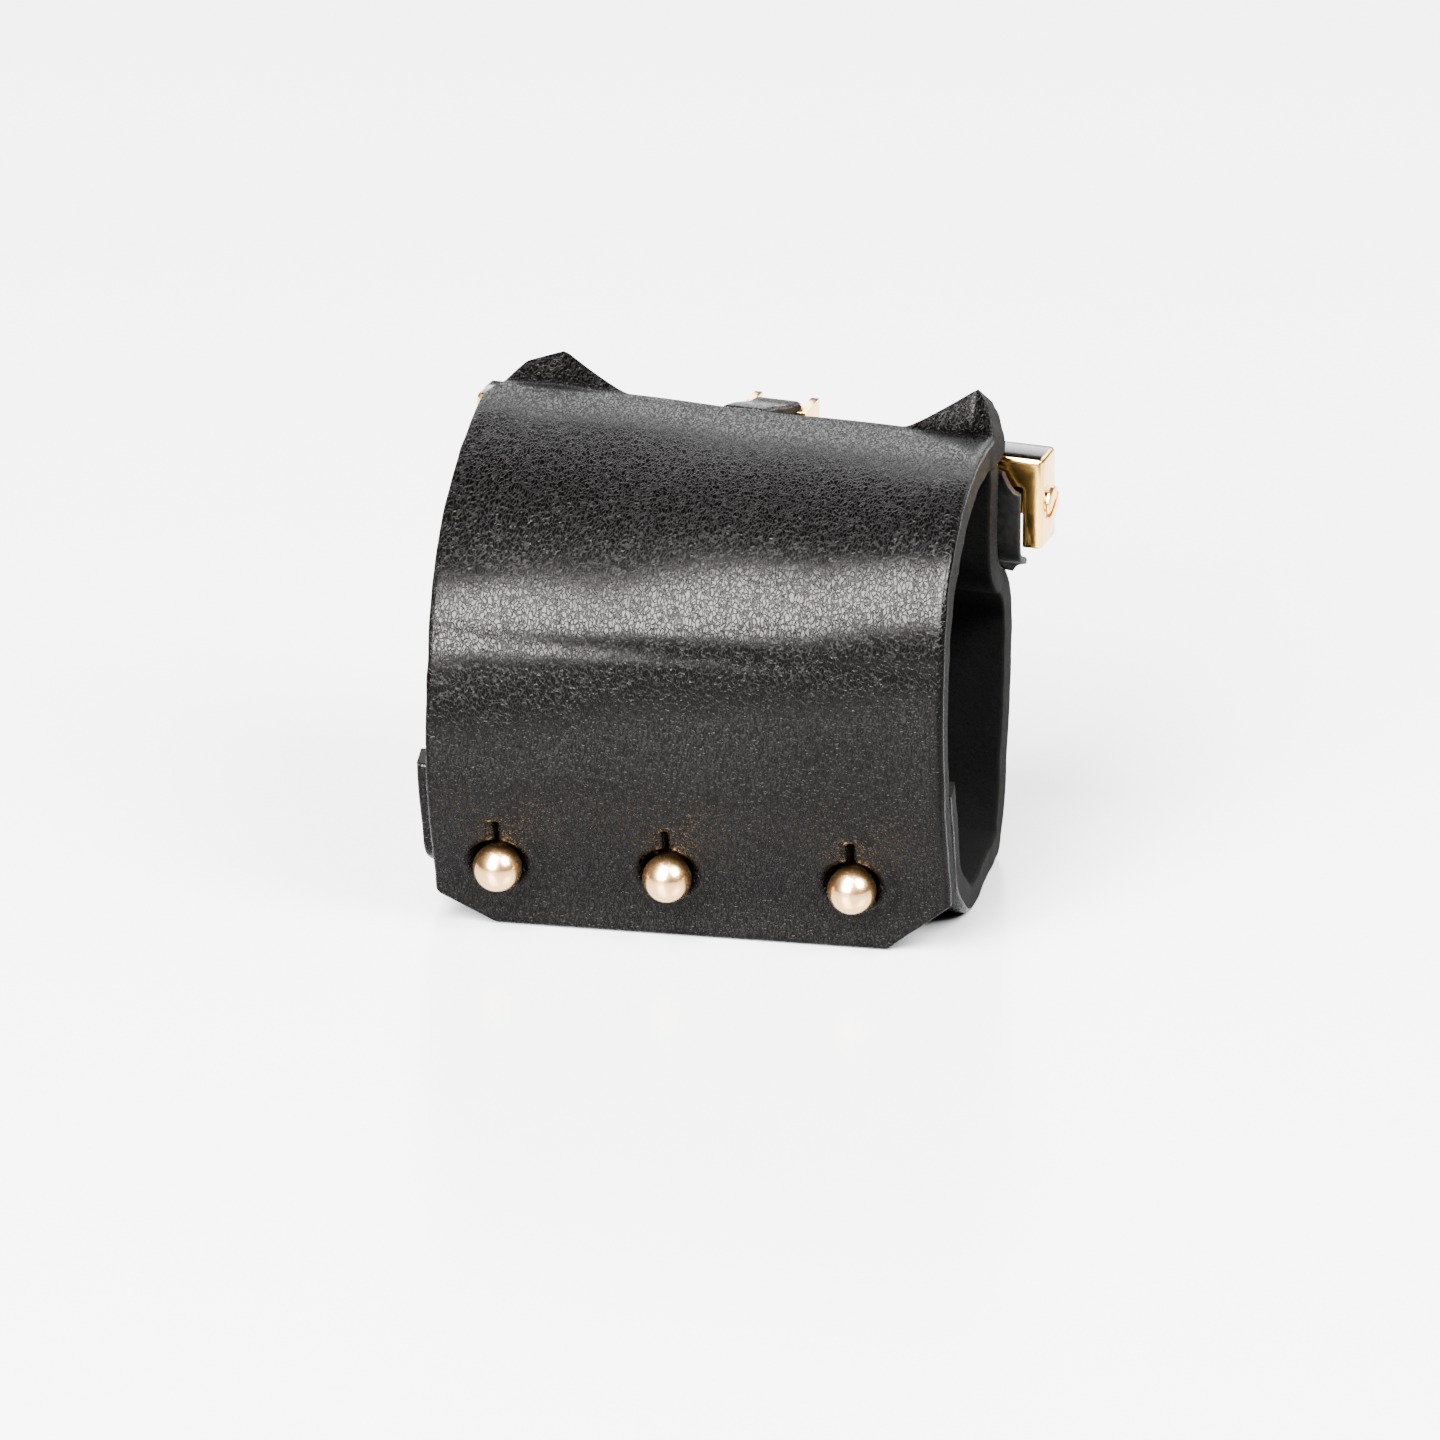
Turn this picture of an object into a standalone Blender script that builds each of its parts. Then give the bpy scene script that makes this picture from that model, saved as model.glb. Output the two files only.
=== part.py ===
"""Saxophone ligature: a leather band on ball studs, tightened by a cam lever in a metal hinge frame.

Metres, +Z up. While it is built, X runs along the tube from the right-hand edge of the leather (0)
to the left-hand edge (-BAND_LENGTH), Y runs from the front wall to the back, and Z from the table.
The last step moves the whole model so that its origin is the centre of its base.
"""
import math

import bmesh
import bpy
from mathutils import Vector

MM = 0.001

# ---------------------------------------------------------------- leather band
BAND_LENGTH = 38.4 * MM  # width of both straps along the tube
LEATHER = 2.2 * MM  # thickness of both straps
DEPTH_RIGHT = 29.9 * MM  # front to back, at the narrow end of the cone
DEPTH_LEFT = 35.3 * MM  # front to back, at the wide end
CROWN_RIGHT = 34.6 * MM  # height of the top, narrow end
CROWN_LEFT = 34.2 * MM  # height of the top, wide end
FLAP_EDGE = 4.3 * MM  # Y of the flap's bottom edge
FLAP_TOP = 20.4 * MM  # height of the line where the flap starts to bend
FLAP_LEAN = math.radians(7.5)  # how far the two edges at that line lean towards each other
HEEL_RIGHT = 8.97 * MM  # Y where the back strap turns under, at the narrow end
HEEL_LEFT = 10.59 * MM  # and at the wide end
INNER_END_TOP = 12.6 * MM  # height of the back strap's end behind the flap
INNER_END_PROUD = 1.2 * MM  # how far the back strap stands out to the left of the flap
CHAMFER_RIGHT = (4.9 * MM, 3.9 * MM)  # width and height of the flap's cut corners
CHAMFER_LEFT = (4.5 * MM, 2.3 * MM)
EAR_RIGHT = (-1.8 * MM, 5.0 * MM, 2.1 * MM)  # each raised corner: place along X, half width, rise
EAR_LEFT = (4.9 * MM - BAND_LENGTH, 5.5 * MM, 1.3 * MM)
EAR_REACH = 4.2 * MM
STRAP_COLUMNS = 20  # the raised corners need more columns than a plain cone
CONE_COLUMNS = 5
FLAP_ROWS = 12
STRAP_ROWS = 14
BACK_ROWS = 40
PAD_ROWS = 9

# ---------------------------------------------------------------- ball studs
STUD_PLACES = {"right": -7.2 * MM, "middle": -20.9 * MM, "left": 4.9 * MM - BAND_LENGTH}
STUD_HEIGHT = 5.25 * MM  # of each stud's axis where it leaves the flap
BALL_RADIUS = 1.8 * MM
BALL_PROUD = 0.4 * MM  # ball centre in front of the flap's outer face
NECK_RADIUS = 1.1 * MM
FLANGE_RADIUS = 1.8 * MM
FLANGE_THICKNESS = 0.6 * MM
KEYHOLE_CLEARANCE = 0.5 * MM
KEYHOLE_LIFT = 0.25 * MM  # the hole's centre above the ball's
SLIT_WIDTH = 0.6 * MM
SLIT_REACH = 4.1 * MM  # top of the slit above the ball's centre
STUD_BORE_RADIUS = 0.85 * MM
STUD_SCREW_RADIUS = 0.65 * MM
WASHER_RADIUS = 2.0 * MM
WASHER_THICKNESS = 0.4 * MM
STUD_HEAD_RADIUS = 1.6 * MM
STUD_HEAD_HEIGHT = 0.7 * MM

# ---------------------------------------------------------------- hinge frame
FRAME_OVERHANG = 5.6 * MM  # how much longer the frame is than the band
FRAME_HEIGHT = 7.1 * MM
FRAME_DEPTH = 3.4 * MM
FRAME_DROP = 3.1 * MM  # of the frame's top below the crown
FRAME_RIGHT_END = 3.1 * MM  # X of the frame's right-hand end
FRAME_RECESS = 5.9 * MM  # its front face at that end, in front of the back wall
RAIL_HEIGHT = 2.3 * MM
CHEEK_THICKNESS = 1.5 * MM
RAIL_NOTCH_DEPTH = 1.0 * MM
FRAME_EDGE = 0.35 * MM
PAD_THICKNESS = 0.5 * MM
PAD_SKIRT = 3.0 * MM  # how far the pad hangs below the frame
PAD_DROP = 0.9 * MM  # of the pad's top below the frame's
BACK_STRAP_DROP = 0.1 * MM  # of the back strap's top below the frame's
PAD_PROUD = 0.9 * MM  # how far the pad stands out past the leather at each end
PLATE_THICKNESS = 0.8 * MM
PLATE_HEIGHT = 6.6 * MM
PLATE_MARGIN = 0.9 * MM  # of plate above the screws' centres
PLATE_INSET = 1.8 * MM  # from the leather's edges to the inner plate's ends
PLATE_EDGE = 0.3 * MM
SCREW_DROP = 1.3 * MM  # from the frame's top to the screws
FRAME_SCREW_SPACING = 10.4 * MM
FRAME_SCREW_RADIUS = 0.6 * MM
FRAME_HEAD_RADIUS = 1.2 * MM
FRAME_HEAD_HEIGHT = 0.7 * MM

# ---------------------------------------------------------------- lever, cam and clip
SHAFT_RADIUS = 0.8 * MM
SHAFT_HEAD_RADIUS = 1.4 * MM
SHAFT_HEAD_HEIGHT = 0.45 * MM
SHAFT_SLOT_TURN = math.radians(35.0)
BARREL_WALL = 0.65 * MM
BARREL_SETBACK = 0.45 * MM  # of the barrels behind the frame's front face
BARREL_CLEARANCE = 0.15 * MM  # under the rail
BARREL_LENGTH = 13.0 * MM  # of each half
BUSH_WALL = 0.18 * MM
LEVER_WIDTH = 12.0 * MM
LEVER_THICKNESS = 1.2 * MM
LEVER_OPENING = math.radians(100.0)
CLIP_WIDTH = 5.0 * MM
CLIP_WALL = 0.6 * MM
CLIP_RISE = 0.1 * MM  # of the clip's top above the frame's
CLIP_HEIGHT = 8.1 * MM
CLIP_SINK = 1.4 * MM  # of its rear plate below the tops of its walls
CLIP_TRAVEL = 1.2 * MM  # how far the cam moves the clip
CAM_WALL = 0.7 * MM  # least metal around the shaft
CAM_CLEARANCE = 0.15 * MM
FOLLOWER_RADIUS = 0.6 * MM
TAB_THICKNESS = 1.3 * MM
TAB_START = 0.9 * MM  # behind the front strap's rear edge
TAB_SCREW_RADIUS = 0.5 * MM
TAB_HEAD_RADIUS = 1.1 * MM
TAB_HEAD_HEIGHT = 0.5 * MM

# ---------------------------------------------------------------- fits
GAP = 0.25 * MM  # between pieces that rest on each other
RUNNING = 0.12 * MM  # around a turning shaft or pin
SLOT_WIDTH = 0.45 * MM
SLOT_DEPTH = 0.3 * MM
ROUND_STEPS = 16
MERGE = 0.00001
REACH = 60.0 * MM  # longer than any piece, for cutters that pass right through

# ---------------------------------------------------------------- sizes that follow from the others
FLAP_SPLIT = LEATHER * math.tan(FLAP_LEAN)  # between the flap and the strap above it
HOLE_RADIUS = BALL_RADIUS + KEYHOLE_CLEARANCE
FRAME_YAW = -math.atan2(DEPTH_LEFT - DEPTH_RIGHT, BAND_LENGTH)  # the frame follows the back wall
FRAME_FRONT_RIGHT = DEPTH_RIGHT - FRAME_RECESS
FRAME_LENGTH = BAND_LENGTH + FRAME_OVERHANG
FRAME_TOP = CROWN_RIGHT - FRAME_DROP
FRAME_BOTTOM = FRAME_TOP - FRAME_HEIGHT
BACK_STRAP_TOP = FRAME_TOP - BACK_STRAP_DROP
PAD_BOTTOM = FRAME_BOTTOM - PAD_SKIRT
PAD_TOP = FRAME_TOP - PAD_DROP
SEAT = PAD_THICKNESS + 2 * GAP  # from the back strap to the frame's front face
BARREL_RADIUS = SHAFT_RADIUS + BARREL_WALL
BUSH_RADIUS = SHAFT_RADIUS + RUNNING + BUSH_WALL
PIVOT_DEPTH = BARREL_RADIUS + BARREL_SETBACK  # pivot line behind the frame's front face
PIVOT_HEIGHT = FRAME_TOP - RAIL_HEIGHT - BARREL_RADIUS - BARREL_CLEARANCE
CAM_LOW = SHAFT_RADIUS + CAM_WALL
CAM_HIGH = CAM_LOW + CLIP_TRAVEL
CLIP_TOP = FRAME_TOP + CLIP_RISE
CLIP_BOTTOM = CLIP_TOP - CLIP_HEIGHT
TAB_FRONT = PIVOT_DEPTH + CAM_HIGH + CAM_CLEARANCE  # inner face of the tab behind the cam
CLIP_BACK = TAB_FRONT + TAB_THICKNESS + GAP + CLIP_WALL
TAB_WIDTH = CLIP_WIDTH - 2 * CLIP_WALL - 2 * GAP
CLIP_RATIO = CLIP_TRAVEL / LEVER_OPENING  # metres of slide for each radian of lever


# ---------------------------------------------------------------- scene helpers
def clear_scene():
    for old in list(bpy.data.objects):
        bpy.data.objects.remove(old, do_unlink=True)


def collection(name):
    made = bpy.data.collections.new(name)
    bpy.context.scene.collection.children.link(made)
    return made


def material(name, colour, roughness, metallic):
    made = bpy.data.materials.new(name)
    made.use_nodes = True
    shader = made.node_tree.nodes["Principled BSDF"]
    shader.inputs["Base Color"].default_value = (*colour, 1.0)
    shader.inputs["Roughness"].default_value = roughness
    shader.inputs["Metallic"].default_value = metallic
    made.diffuse_color = (*colour, 1.0)
    return made


clear_scene()
PARTS = collection("saxophone_ligature")
CUTTERS = collection("cutters")
BLACK_LEATHER = material("black_leather", (0.012, 0.012, 0.013), 0.42, 0.0)
YELLOW_GOLD = material("yellow_gold", (0.86, 0.62, 0.30), 0.22, 1.0)
ROSE_GOLD = material("rose_gold", (0.84, 0.66, 0.50), 0.18, 1.0)
STEEL = material("steel", (0.62, 0.62, 0.64), 0.30, 1.0)
BLACK_PLATE = material("black_plate", (0.02, 0.02, 0.02), 0.35, 0.3)
BLACK_RUBBER = material("black_rubber", (0.015, 0.015, 0.015), 0.5, 0.0)


def empty(name, place, parent=None, turn=(0.0, 0.0, 0.0)):
    made = bpy.data.objects.new(name, None)
    PARTS.objects.link(made)
    made.location = place
    made.rotation_euler = turn
    made.parent = parent
    return made


def place(name, mesh, look, parent, where=(0.0, 0.0, 0.0), turn=(0.0, 0.0, 0.0), group=PARTS):
    made = bpy.data.objects.new(name, mesh)
    group.objects.link(made)
    made.location = where
    made.rotation_euler = turn
    made.parent = parent
    if look:
        mesh.materials.append(look)
    if group is CUTTERS:
        made.hide_render = True
        made.display_type = "WIRE"
    return made


def box(name, low, high, look=None, parent=None, group=PARTS, turn=(0.0, 0.0, 0.0)):
    """A box between two corners, turned about its own centre."""
    low, high = Vector(low), Vector(high)
    mesh = bpy.data.meshes.new(name)
    shape = bmesh.new()
    bmesh.ops.create_cube(shape, size=1.0)
    bmesh.ops.scale(shape, vec=high - low, verts=shape.verts)
    shape.to_mesh(mesh)
    shape.free()
    return place(name, mesh, look, parent, (low + high) / 2, turn, group)


def cylinder(name, radius, start, end, look=None, parent=None, group=PARTS, steps=ROUND_STEPS):
    """A round bar between two points."""
    start, end = Vector(start), Vector(end)
    mesh = bpy.data.meshes.new(name)
    shape = bmesh.new()
    bmesh.ops.create_cone(
        shape, cap_ends=True, segments=steps, radius1=radius, radius2=radius,
        depth=(end - start).length,
    )
    shape.to_mesh(mesh)
    shape.free()
    turn = (end - start).to_track_quat("Z", "Y").to_euler()
    return place(name, mesh, look, parent, (start + end) / 2, turn, group)


def turned(name, profile, look, parent, where=(0.0, 0.0, 0.0), turn=(0.0, 0.0, 0.0), closed=False):
    """A profile of (radius, height) points, outer side from top to bottom, turned about Z."""
    mesh = bpy.data.meshes.new(name)
    points = [(radius, 0.0, height) for radius, height in profile]
    edges = [(i, i + 1) for i in range(len(points) - 1)]
    if closed:
        edges.append((len(points) - 1, 0))
    mesh.from_pydata(points, edges, [])
    made = place(name, mesh, look, parent, where, turn)
    screw = made.modifiers.new("turn", "SCREW")
    screw.steps = screw.render_steps = ROUND_STEPS
    screw.use_merge_vertices = True
    screw.merge_threshold = MERGE
    screw.use_smooth_shade = True
    return made


def boolean(target, tool, operation):
    step = target.modifiers.new(operation.lower(), "BOOLEAN")
    step.operation = operation
    step.solver = "EXACT"
    step.object = tool


def cut(target, *tools):
    for tool in tools:
        boolean(target, tool, "DIFFERENCE")


def join(target, *tools):
    for tool in tools:
        boolean(target, tool, "UNION")


def bevel(target, width, segments=2):
    step = target.modifiers.new("edges", "BEVEL")
    step.width = width
    step.segments = segments
    step.limit_method = "ANGLE"


# ---------------------------------------------------------------- curves in the (Y, Z) plane
def smooth(points, steps=8):
    """A Catmull-Rom curve through the points."""
    ends = [points[0] * 2 - points[1], *points, points[-1] * 2 - points[-2]]
    curve = []
    for a, b, c, d in zip(ends, ends[1:], ends[2:], ends[3:]):
        for step in range(steps):
            t = step / steps
            curve.append(
                0.5 * (2 * b + (c - a) * t + (2 * a - 5 * b + 4 * c - d) * t**2
                       + (3 * b - a - 3 * c + d) * t**3)
            )
    curve.append(points[-1])
    return curve


def lengths(curve):
    run = [0.0]
    for a, b in zip(curve, curve[1:]):
        run.append(run[-1] + (b - a).length)
    return run


def at_length(curve, run, distance):
    for a, b, low, high in zip(curve, curve[1:], run, run[1:]):
        if distance <= high:
            return a.lerp(b, (distance - low) / (high - low))
    return curve[-1].copy()


def stretch(curve, start, end, count):
    """Evenly spaced points on the curve between two distances along it."""
    run = lengths(curve)
    return [at_length(curve, run, start + (end - start) * i / count) for i in range(count + 1)]


def length_at_height(curve, height, last=False):
    """How far along the curve it first, or last, crosses a height."""
    run = lengths(curve)
    found = [
        low + (high - low) * (height - a.y) / (b.y - a.y)
        for a, b, low, high in zip(curve, curve[1:], run, run[1:])
        if min(a.y, b.y) <= height <= max(a.y, b.y) and a.y != b.y
    ]
    return found[-1] if last else found[0]


def offset(curve, distance):
    """The curve moved sideways: to the left of its direction when distance is positive."""
    moved = []
    for i, point in enumerate(curve):
        along = curve[min(i + 1, len(curve) - 1)] - curve[max(i - 1, 0)]
        moved.append(point + Vector((-along.y, along.x)).normalized() * distance)
    return moved


# ---------------------------------------------------------------- sections of the band
def share_left(x):
    return -x / BAND_LENGTH


def ear(x):
    """How far the front strap's rear edge reaches back and rises at x, in its two raised corners."""
    reach = rise = 0.0
    for peak, half_width, height in (EAR_RIGHT, EAR_LEFT):
        away = min(abs(x - peak) / half_width, 1.0)
        share = math.cos(away * math.pi / 2) ** 2
        reach = max(reach, share * EAR_REACH)
        rise = max(rise, share * height)
    return reach, rise


def front_section(x):
    """Outer line of the front strap at x, from the flap's bottom edge over the top to the rear."""
    t = share_left(x)
    back = FRAME_FRONT_RIGHT - SEAT - 2.9 * MM
    right = [
        (FLAP_EDGE, 0.0), (3.9 * MM, 3.6 * MM), (2.8 * MM, 6.9 * MM), (1.5 * MM, 10.4 * MM),
        (0.6 * MM, 14.5 * MM), (0.0, 0.61 * CROWN_RIGHT), (0.9 * MM, 0.79 * CROWN_RIGHT),
        (3.6 * MM, 0.9 * CROWN_RIGHT), (8.4 * MM, 0.975 * CROWN_RIGHT), (14.0 * MM, CROWN_RIGHT),
        (back, CROWN_RIGHT - 0.4 * MM),
    ]
    back_left = back + BAND_LENGTH * math.tan(-FRAME_YAW)
    left = [
        (FLAP_EDGE, 0.0), (3.7 * MM, 3.4 * MM), (2.3 * MM, 6.7 * MM), (1.0 * MM, 10.2 * MM),
        (0.2 * MM, 13.8 * MM), (0.5 * MM, 0.55 * CROWN_LEFT), (2.6 * MM, 0.72 * CROWN_LEFT),
        (6.6 * MM, 0.83 * CROWN_LEFT), (12.6 * MM, 0.93 * CROWN_LEFT),
        (20.0 * MM, CROWN_LEFT - 0.4 * MM), (back_left, CROWN_LEFT - 0.1 * MM),
    ]
    points = [Vector(a).lerp(Vector(b), t) for a, b in zip(right, left)]
    reach, rise = ear(x)
    rear = points[-1]
    points.append(rear + Vector((0.6 * MM + reach / 2, rise / 5)))
    points.append(rear + Vector((1.2 * MM + reach, rise)))
    return smooth(points)


def frame_front(x):
    """Y of the hinge frame's front face at x."""
    return FRAME_FRONT_RIGHT + (x - FRAME_RIGHT_END) * math.tan(FRAME_YAW)


def back_section(x):
    """Outer line of the back strap at x, from behind the flap, under and up to the frame."""
    depth = DEPTH_RIGHT + (DEPTH_LEFT - DEPTH_RIGHT) * share_left(x)
    heel = HEEL_RIGHT + (HEEL_LEFT - HEEL_RIGHT) * share_left(x)
    seat = frame_front(x) - SEAT
    front = front_section(min(max(x, -BAND_LENGTH), 0.0))
    behind_flap = offset(front, -(LEATHER + GAP))
    run = lengths(behind_flap)
    points = [
        at_length(behind_flap, run, length_at_height(behind_flap, height))
        for height in (INNER_END_TOP, 9.6 * MM, 6.8 * MM, 4.4 * MM)
    ]
    waist = FRAME_BOTTOM
    points += [
        Vector((heel, 1.9 * MM)), Vector((0.40 * depth, 0.3 * MM)),
        Vector((0.52 * depth, 0.0)), Vector((0.66 * depth, 0.0)), Vector((0.80 * depth, 0.0)),
        Vector((0.90 * depth, 2.8 * MM)), Vector((0.955 * depth, 8.2 * MM)),
        Vector((depth, 15.4 * MM)), Vector((0.985 * depth, 19.0 * MM)),
        Vector((seat + 3.4 * MM, waist - 2.5 * MM)), Vector((seat + 1.0 * MM, waist - 1.3 * MM)),
        Vector((seat, waist + 0.1 * MM)), Vector((seat, waist + 3.6 * MM)),
        Vector((seat, BACK_STRAP_TOP)),
    ]
    return [Vector((point.x, max(point.y, 0.0))) for point in smooth(points)]


def sheet(name, rows, thickness, outward, look, parent):
    """A surface through rows of points, thickened away from its outward side."""
    mesh = bpy.data.meshes.new(name)
    shape = bmesh.new()
    grid = [[shape.verts.new(point) for point in row] for row in rows]
    for low, high in zip(grid, grid[1:]):
        for a, b, c, d in zip(low, low[1:], high[1:], high):
            shape.faces.new((a, b, c, d))
    shape.normal_update()
    first = next(iter(shape.faces))
    if first.normal.dot(Vector(outward)) < 0:
        bmesh.ops.reverse_faces(shape, faces=shape.faces)
    shape.to_mesh(mesh)
    shape.free()
    made = place(name, mesh, look, parent)
    solid = made.modifiers.new("thickness", "SOLIDIFY")
    solid.thickness = thickness
    solid.offset = -1.0
    solid.use_even_offset = True
    return made


def lofted(start, end, section, count=CONE_COLUMNS):
    """Rows of points from a function that gives a section's (Y, Z) points at each x."""
    places = [start + (end - start) * i / count for i in range(count + 1)]
    columns = [(x, section(x)) for x in places]
    return [[(x, p.x, p.y) for x, points in columns for p in [points[row]]]
            for row in range(len(columns[0][1]))]


# ---------------------------------------------------------------- the three leather pieces
def flap_section(x):
    curve = front_section(x)
    return stretch(curve, 0.0, length_at_height(curve, FLAP_TOP) - FLAP_SPLIT / 2, FLAP_ROWS)


def strap_section(x):
    curve = front_section(x)
    start = length_at_height(curve, FLAP_TOP) + FLAP_SPLIT / 2
    return stretch(curve, start, lengths(curve)[-1], STRAP_ROWS)


def back_strap_section(x):
    curve = back_section(x)
    return stretch(curve, 0.0, lengths(curve)[-1], BACK_ROWS)


def pad_section(x):
    curve = offset(back_section(x), -(GAP + PAD_THICKNESS))
    low = length_at_height(curve, PAD_BOTTOM, last=True)
    high = length_at_height(curve, PAD_TOP, last=True)
    return stretch(curve, low, high, PAD_ROWS)


ORIGIN = empty("ligature_origin", (0.0, 0.0, 0.0))


def stud_frame(side, x):
    """An empty on the flap's outer face at a stud, with +Z out of the leather."""
    curve = front_section(x)
    run = lengths(curve)
    here = length_at_height(curve, STUD_HEIGHT)
    point = at_length(curve, run, here)
    along = at_length(curve, run, here + 0.5 * MM) - at_length(curve, run, here - 0.5 * MM)
    out = Vector((0.0, -along.y, along.x)).normalized()
    turn = out.to_track_quat("Z", "Y").to_euler()
    return empty(f"stud_axis_{side}", (x, point.x, point.y), ORIGIN, turn)


STUDS = {side: stud_frame(side, x) for side, x in STUD_PLACES.items()}
FRAME_CENTRE_X = FRAME_RIGHT_END - FRAME_LENGTH / 2 * math.cos(FRAME_YAW)
FRAME = empty(
    "frame_axis", (FRAME_CENTRE_X, frame_front(FRAME_CENTRE_X), 0.0), ORIGIN, (0.0, 0.0, FRAME_YAW)
)
SCREW_PLACES = {str(i + 1): (i - 1.5) * FRAME_SCREW_SPACING for i in range(4)}
SCREW_HEIGHT = FRAME_TOP - SCREW_DROP


def upright_slit(side, parent):
    """Cutter for the slit above a keyhole; the stud's local Y is the way up along the leather."""
    return box(
        f"slit_cutter_{side}", (-SLIT_WIDTH / 2, 0.0, -LEATHER * 1.5),
        (SLIT_WIDTH / 2, SLIT_REACH, LEATHER), parent=parent, group=CUTTERS,
    )


def flap():
    made = sheet("keyhole_flap", lofted(0.0, -BAND_LENGTH, flap_section), LEATHER,
                 (0, -1, 0), BLACK_LEATHER, ORIGIN)
    for side, axis in STUDS.items():
        hole = cylinder(
            f"keyhole_cutter_{side}", HOLE_RADIUS, (0, KEYHOLE_LIFT, -LEATHER * 1.5),
            (0, KEYHOLE_LIFT, LEATHER), parent=axis, group=CUTTERS, steps=24,
        )
        cut(made, hole, upright_slit(side, axis))
    corners = (
        ("right", 0.0, CHAMFER_RIGHT, -1),
        ("left", -BAND_LENGTH, CHAMFER_LEFT, 1),
    )
    for side, edge, (width, height), inward in corners:
        slope = math.atan2(height, width)
        middle = Vector((edge + inward * width / 2, 0.0, height / 2))
        away = Vector((-inward * math.sin(slope), 0.0, -math.cos(slope)))
        half = REACH / 4
        centre = middle + away * half
        corner = box(
            f"corner_cutter_{side}", centre - Vector((half, half, half)),
            centre + Vector((half, half, half)), parent=ORIGIN, group=CUTTERS,
            turn=(0.0, inward * slope, 0.0),
        )
        cut(made, corner)
    return made


def front_strap():
    return sheet("front_strap", lofted(0.0, -BAND_LENGTH, strap_section, STRAP_COLUMNS), LEATHER,
                 (0, -1, 0), BLACK_LEATHER, ORIGIN)


def back_strap():
    made = sheet("back_strap", lofted(0.0, -BAND_LENGTH - INNER_END_PROUD, back_strap_section),
                 LEATHER, (0, -1, 0), BLACK_LEATHER, ORIGIN)
    for side, axis in STUDS.items():
        cut(made, cylinder(f"neck_cutter_{side}", NECK_RADIUS + GAP, (0, 0, -LEATHER * 3),
                           (0, 0, 0), parent=axis, group=CUTTERS))
    for number, x in SCREW_PLACES.items():
        cut(made, screw_hole(f"strap_hole_{number}", x))
    return made


def screw_hole(name, x, clearance=GAP):
    """Cutter for a frame screw's way through leather, pad and plate."""
    return cylinder(name, FRAME_SCREW_RADIUS + clearance, (x, -REACH / 6, SCREW_HEIGHT),
                    (x, FRAME_DEPTH / 2, SCREW_HEIGHT), parent=FRAME, group=CUTTERS, steps=12)


# ---------------------------------------------------------------- studs
def ball_arc(count=7):
    """The ball's outline from its top down to where the neck leaves it."""
    last = math.pi - math.asin(NECK_RADIUS / BALL_RADIUS)
    return [
        (BALL_RADIUS * math.sin(last * i / count), BALL_PROUD + BALL_RADIUS * math.cos(last * i / count))
        for i in range(count + 1)
    ]


STUD_FOOT = -(LEATHER * 2 + GAP * 0.5)  # inner end of the stud's neck


def stud(side):
    seat = -(LEATHER + GAP) + GAP
    flange_top = seat + FLANGE_THICKNESS
    bore_top = flange_top + 0.2 * MM
    profile = ball_arc() + [
        (NECK_RADIUS, flange_top), (FLANGE_RADIUS, flange_top), (FLANGE_RADIUS, seat),
        (NECK_RADIUS, seat), (NECK_RADIUS, STUD_FOOT), (STUD_BORE_RADIUS, STUD_FOOT),
        (STUD_BORE_RADIUS, bore_top), (0.0, bore_top + 0.2 * MM),
    ]
    return turned(f"stud_{side}", profile, ROSE_GOLD, STUDS[side])


INNER_FACE = -(LEATHER * 2 + GAP)  # inner face of the back strap's end, along a stud's axis
WASHER_TOP = INNER_FACE - GAP


def stud_washer(side):
    low = WASHER_TOP - WASHER_THICKNESS
    hole = STUD_SCREW_RADIUS + GAP
    profile = [(WASHER_RADIUS, WASHER_TOP), (WASHER_RADIUS, low), (hole, low), (hole, WASHER_TOP)]
    return turned(f"stud_washer_{side}", profile, STEEL, STUDS[side], closed=True)


def stud_screw(side):
    head_top = WASHER_TOP - WASHER_THICKNESS - GAP
    head_low = head_top - STUD_HEAD_HEIGHT
    tip = -LEATHER + FLANGE_THICKNESS - GAP
    profile = [
        (0.0, tip), (STUD_SCREW_RADIUS, tip - 0.2 * MM), (STUD_SCREW_RADIUS, head_top),
        (STUD_HEAD_RADIUS, head_top), (STUD_HEAD_RADIUS, head_low + 0.2 * MM),
        (STUD_HEAD_RADIUS - 0.3 * MM, head_low), (0.0, head_low),
    ]
    made = turned(f"stud_screw_{side}", profile, STEEL, STUDS[side])
    cut(made, box(
        f"stud_slot_{side}", (-REACH / 8, -SLOT_WIDTH / 2, head_low - SLOT_DEPTH),
        (REACH / 8, SLOT_WIDTH / 2, head_low + SLOT_DEPTH), parent=STUDS[side], group=CUTTERS,
    ))
    return made


# ---------------------------------------------------------------- hinge frame and what clamps it
HALF_FRAME = FRAME_LENGTH / 2
NOTCH_HALF = CLIP_WIDTH / 2 + GAP


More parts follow.
